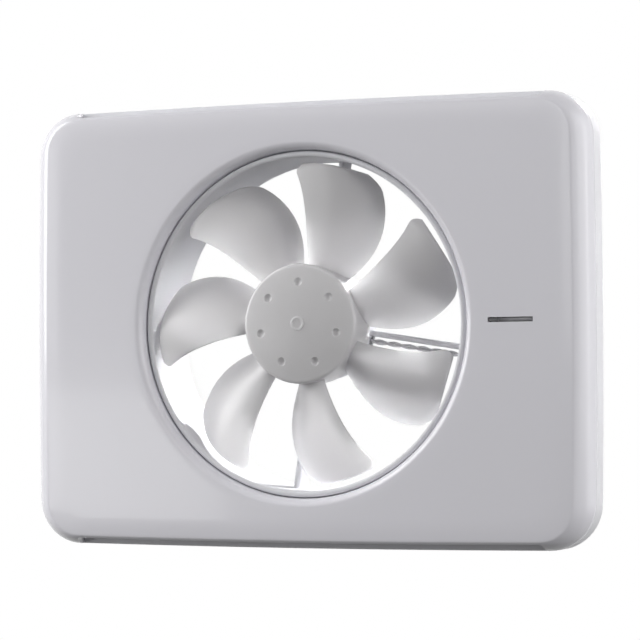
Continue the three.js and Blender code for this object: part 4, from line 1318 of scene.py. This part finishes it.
FLOOR_Z = -2500.0
FLOOR_HALF = 3000
FLOOR_TONE, WORLD_TONE = 0.05, 0.008
WHITE = (1, 1, 1, 1)


def shows_background(owner):
    """A factor of 1 where the camera, a reflection or a see-through surface looks at the background."""
    path = new_node(owner, "ShaderNodeLightPath")
    factor = path.outputs["Is Camera Ray"]
    for ray in ("Is Glossy Ray", "Is Transmission Ray"):
        larger = new_node(owner, "ShaderNodeMath", sources={0: factor, 1: path.outputs[ray]})
        larger.operation = "MAXIMUM"
        factor = larger.outputs["Value"]
    return factor


def white_where_seen(owner, white_kind, unseen, result):
    """Shows plain white wherever the background is looked at, and another shader to all other light."""
    white = new_node(owner, white_kind, {"Color": WHITE})
    mix = new_node(owner, "ShaderNodeMixShader",
                   sources={"Fac": shows_background(owner), 1: unseen.outputs[0], 2: white.outputs[0]})
    owner.node_tree.links.new(mix.outputs["Shader"], result.inputs["Surface"])


def studio_floor():
    """A floor far below, dull to the lamps, so that it throws little light back."""
    half = FLOOR_HALF
    square = [(-half, -half, FLOOR_Z), (half, -half, FLOOR_Z), (half, half, FLOOR_Z), (-half, half, FLOOR_Z)]
    floor = make_object("floor", square, [(0, 1, 2, 3)])
    made = bpy.data.materials.new("pale_floor")
    made.use_nodes = True
    made.node_tree.nodes.clear()
    dull = new_node(made, "ShaderNodeBsdfDiffuse", {"Color": (FLOOR_TONE, FLOOR_TONE, FLOOR_TONE, 1)})
    white_where_seen(made, "ShaderNodeEmission", dull, new_node(made, "ShaderNodeOutputMaterial"))
    dress(floor, made)


def studio_world():
    world = bpy.data.worlds.new("studio")
    bpy.context.scene.world = world
    world.use_nodes = True
    nodes = world.node_tree.nodes
    nodes["Background"].inputs["Color"].default_value = (WORLD_TONE, WORLD_TONE, WORLD_TONE, 1)
    white_where_seen(world, "ShaderNodeBackground", nodes["Background"], nodes["World Output"])


def soft_lamp(name, place, target, size, power, spread=180):
    """A rectangular lamp of a width and height, aimed at a target; power is in watts, spread in degrees."""
    data = bpy.data.lights.new(name, "AREA")
    data.shape = "RECTANGLE"
    data.size, data.size_y = size[0] * MM, size[1] * MM
    data.energy = power
    data.spread = math.radians(spread)
    lamp = bpy.data.objects.new(name, data)
    lamp.location = Vector(place) * MM
    aim = (Vector(target) - Vector(place)).to_track_quat("-Z", "Y")
    lamp.rotation_euler = aim.to_euler()
    bpy.context.scene.collection.objects.link(lamp)


IMAGE_WIDTH = 640
SENSOR_WIDTH = 36
FOCAL_PIXELS = 2728.7
CAMERA_AZIMUTH, CAMERA_ELEVATION, CAMERA_ROLL = 22.7, -1.69, -0.3
CAMERA_DISTANCE = 962.0
CAMERA_TARGET = Vector((8.24, FACE_Y, 1.17))


def photo_camera():
    azimuth, elevation = math.radians(CAMERA_AZIMUTH), math.radians(CAMERA_ELEVATION)
    back = Vector((math.sin(azimuth) * math.cos(elevation), -math.cos(azimuth) * math.cos(elevation),
                   math.sin(elevation)))
    right = (-back).cross(Vector((0, 0, 1))).normalized()
    up = right.cross(-back)
    roll = math.radians(CAMERA_ROLL)
    turned_right = right * math.cos(roll) + up * math.sin(roll)
    turned_up = up * math.cos(roll) - right * math.sin(roll)
    data = bpy.data.cameras.new("camera")
    data.sensor_width = SENSOR_WIDTH
    data.lens = FOCAL_PIXELS / IMAGE_WIDTH * SENSOR_WIDTH
    data.clip_start = 0.01
    camera = bpy.data.objects.new("camera", data)
    rotation = Matrix((turned_right, turned_up, back)).transposed().to_4x4()
    camera.matrix_world = Matrix.Translation((CAMERA_TARGET + back * CAMERA_DISTANCE) * MM) @ rotation
    bpy.context.scene.collection.objects.link(camera)
    bpy.context.scene.camera = camera


LAMPS = [
    ("upper_left", (-970, -340, 420), (0, 0, 0), (700, 900), 11.3),
    ("upper_right", (950, -300, 350), (0, 0, 0), (700, 900), 4.3),
    ("right_front", (700, -620, 40), (0, 0, 0), (400, 700), 0.8),
    ("right", (1000, -80, 100), (0, 0, 0), (200, 700), 0.9),
    ("right_side", (900, 250, 150), (80, 0, 0), (500, 900), 2.1),
    ("behind_duct", (190, 400, 330), (-15, 0, -25), (140, 140), 0.19, 29),
    ("corner_glow", (-420, -560, -70), (-90, -16, -60), (260, 100), 0.32),
    ("left_strip", (-666, -716, 200), (-100, 0, 0), (160, 400), 0.4),
    ("right_strip", (0, -910, 250), (60, 0, 0), (120, 500), 0.5),
    ("top_strip", (-350, -780, 340), (0, 0, 60), (700, 120), 0.4),
]

studio_floor()
studio_world()
photo_camera()
for lamp in LAMPS:
    soft_lamp(*lamp)
bpy.context.scene.view_settings.view_transform = "Standard"
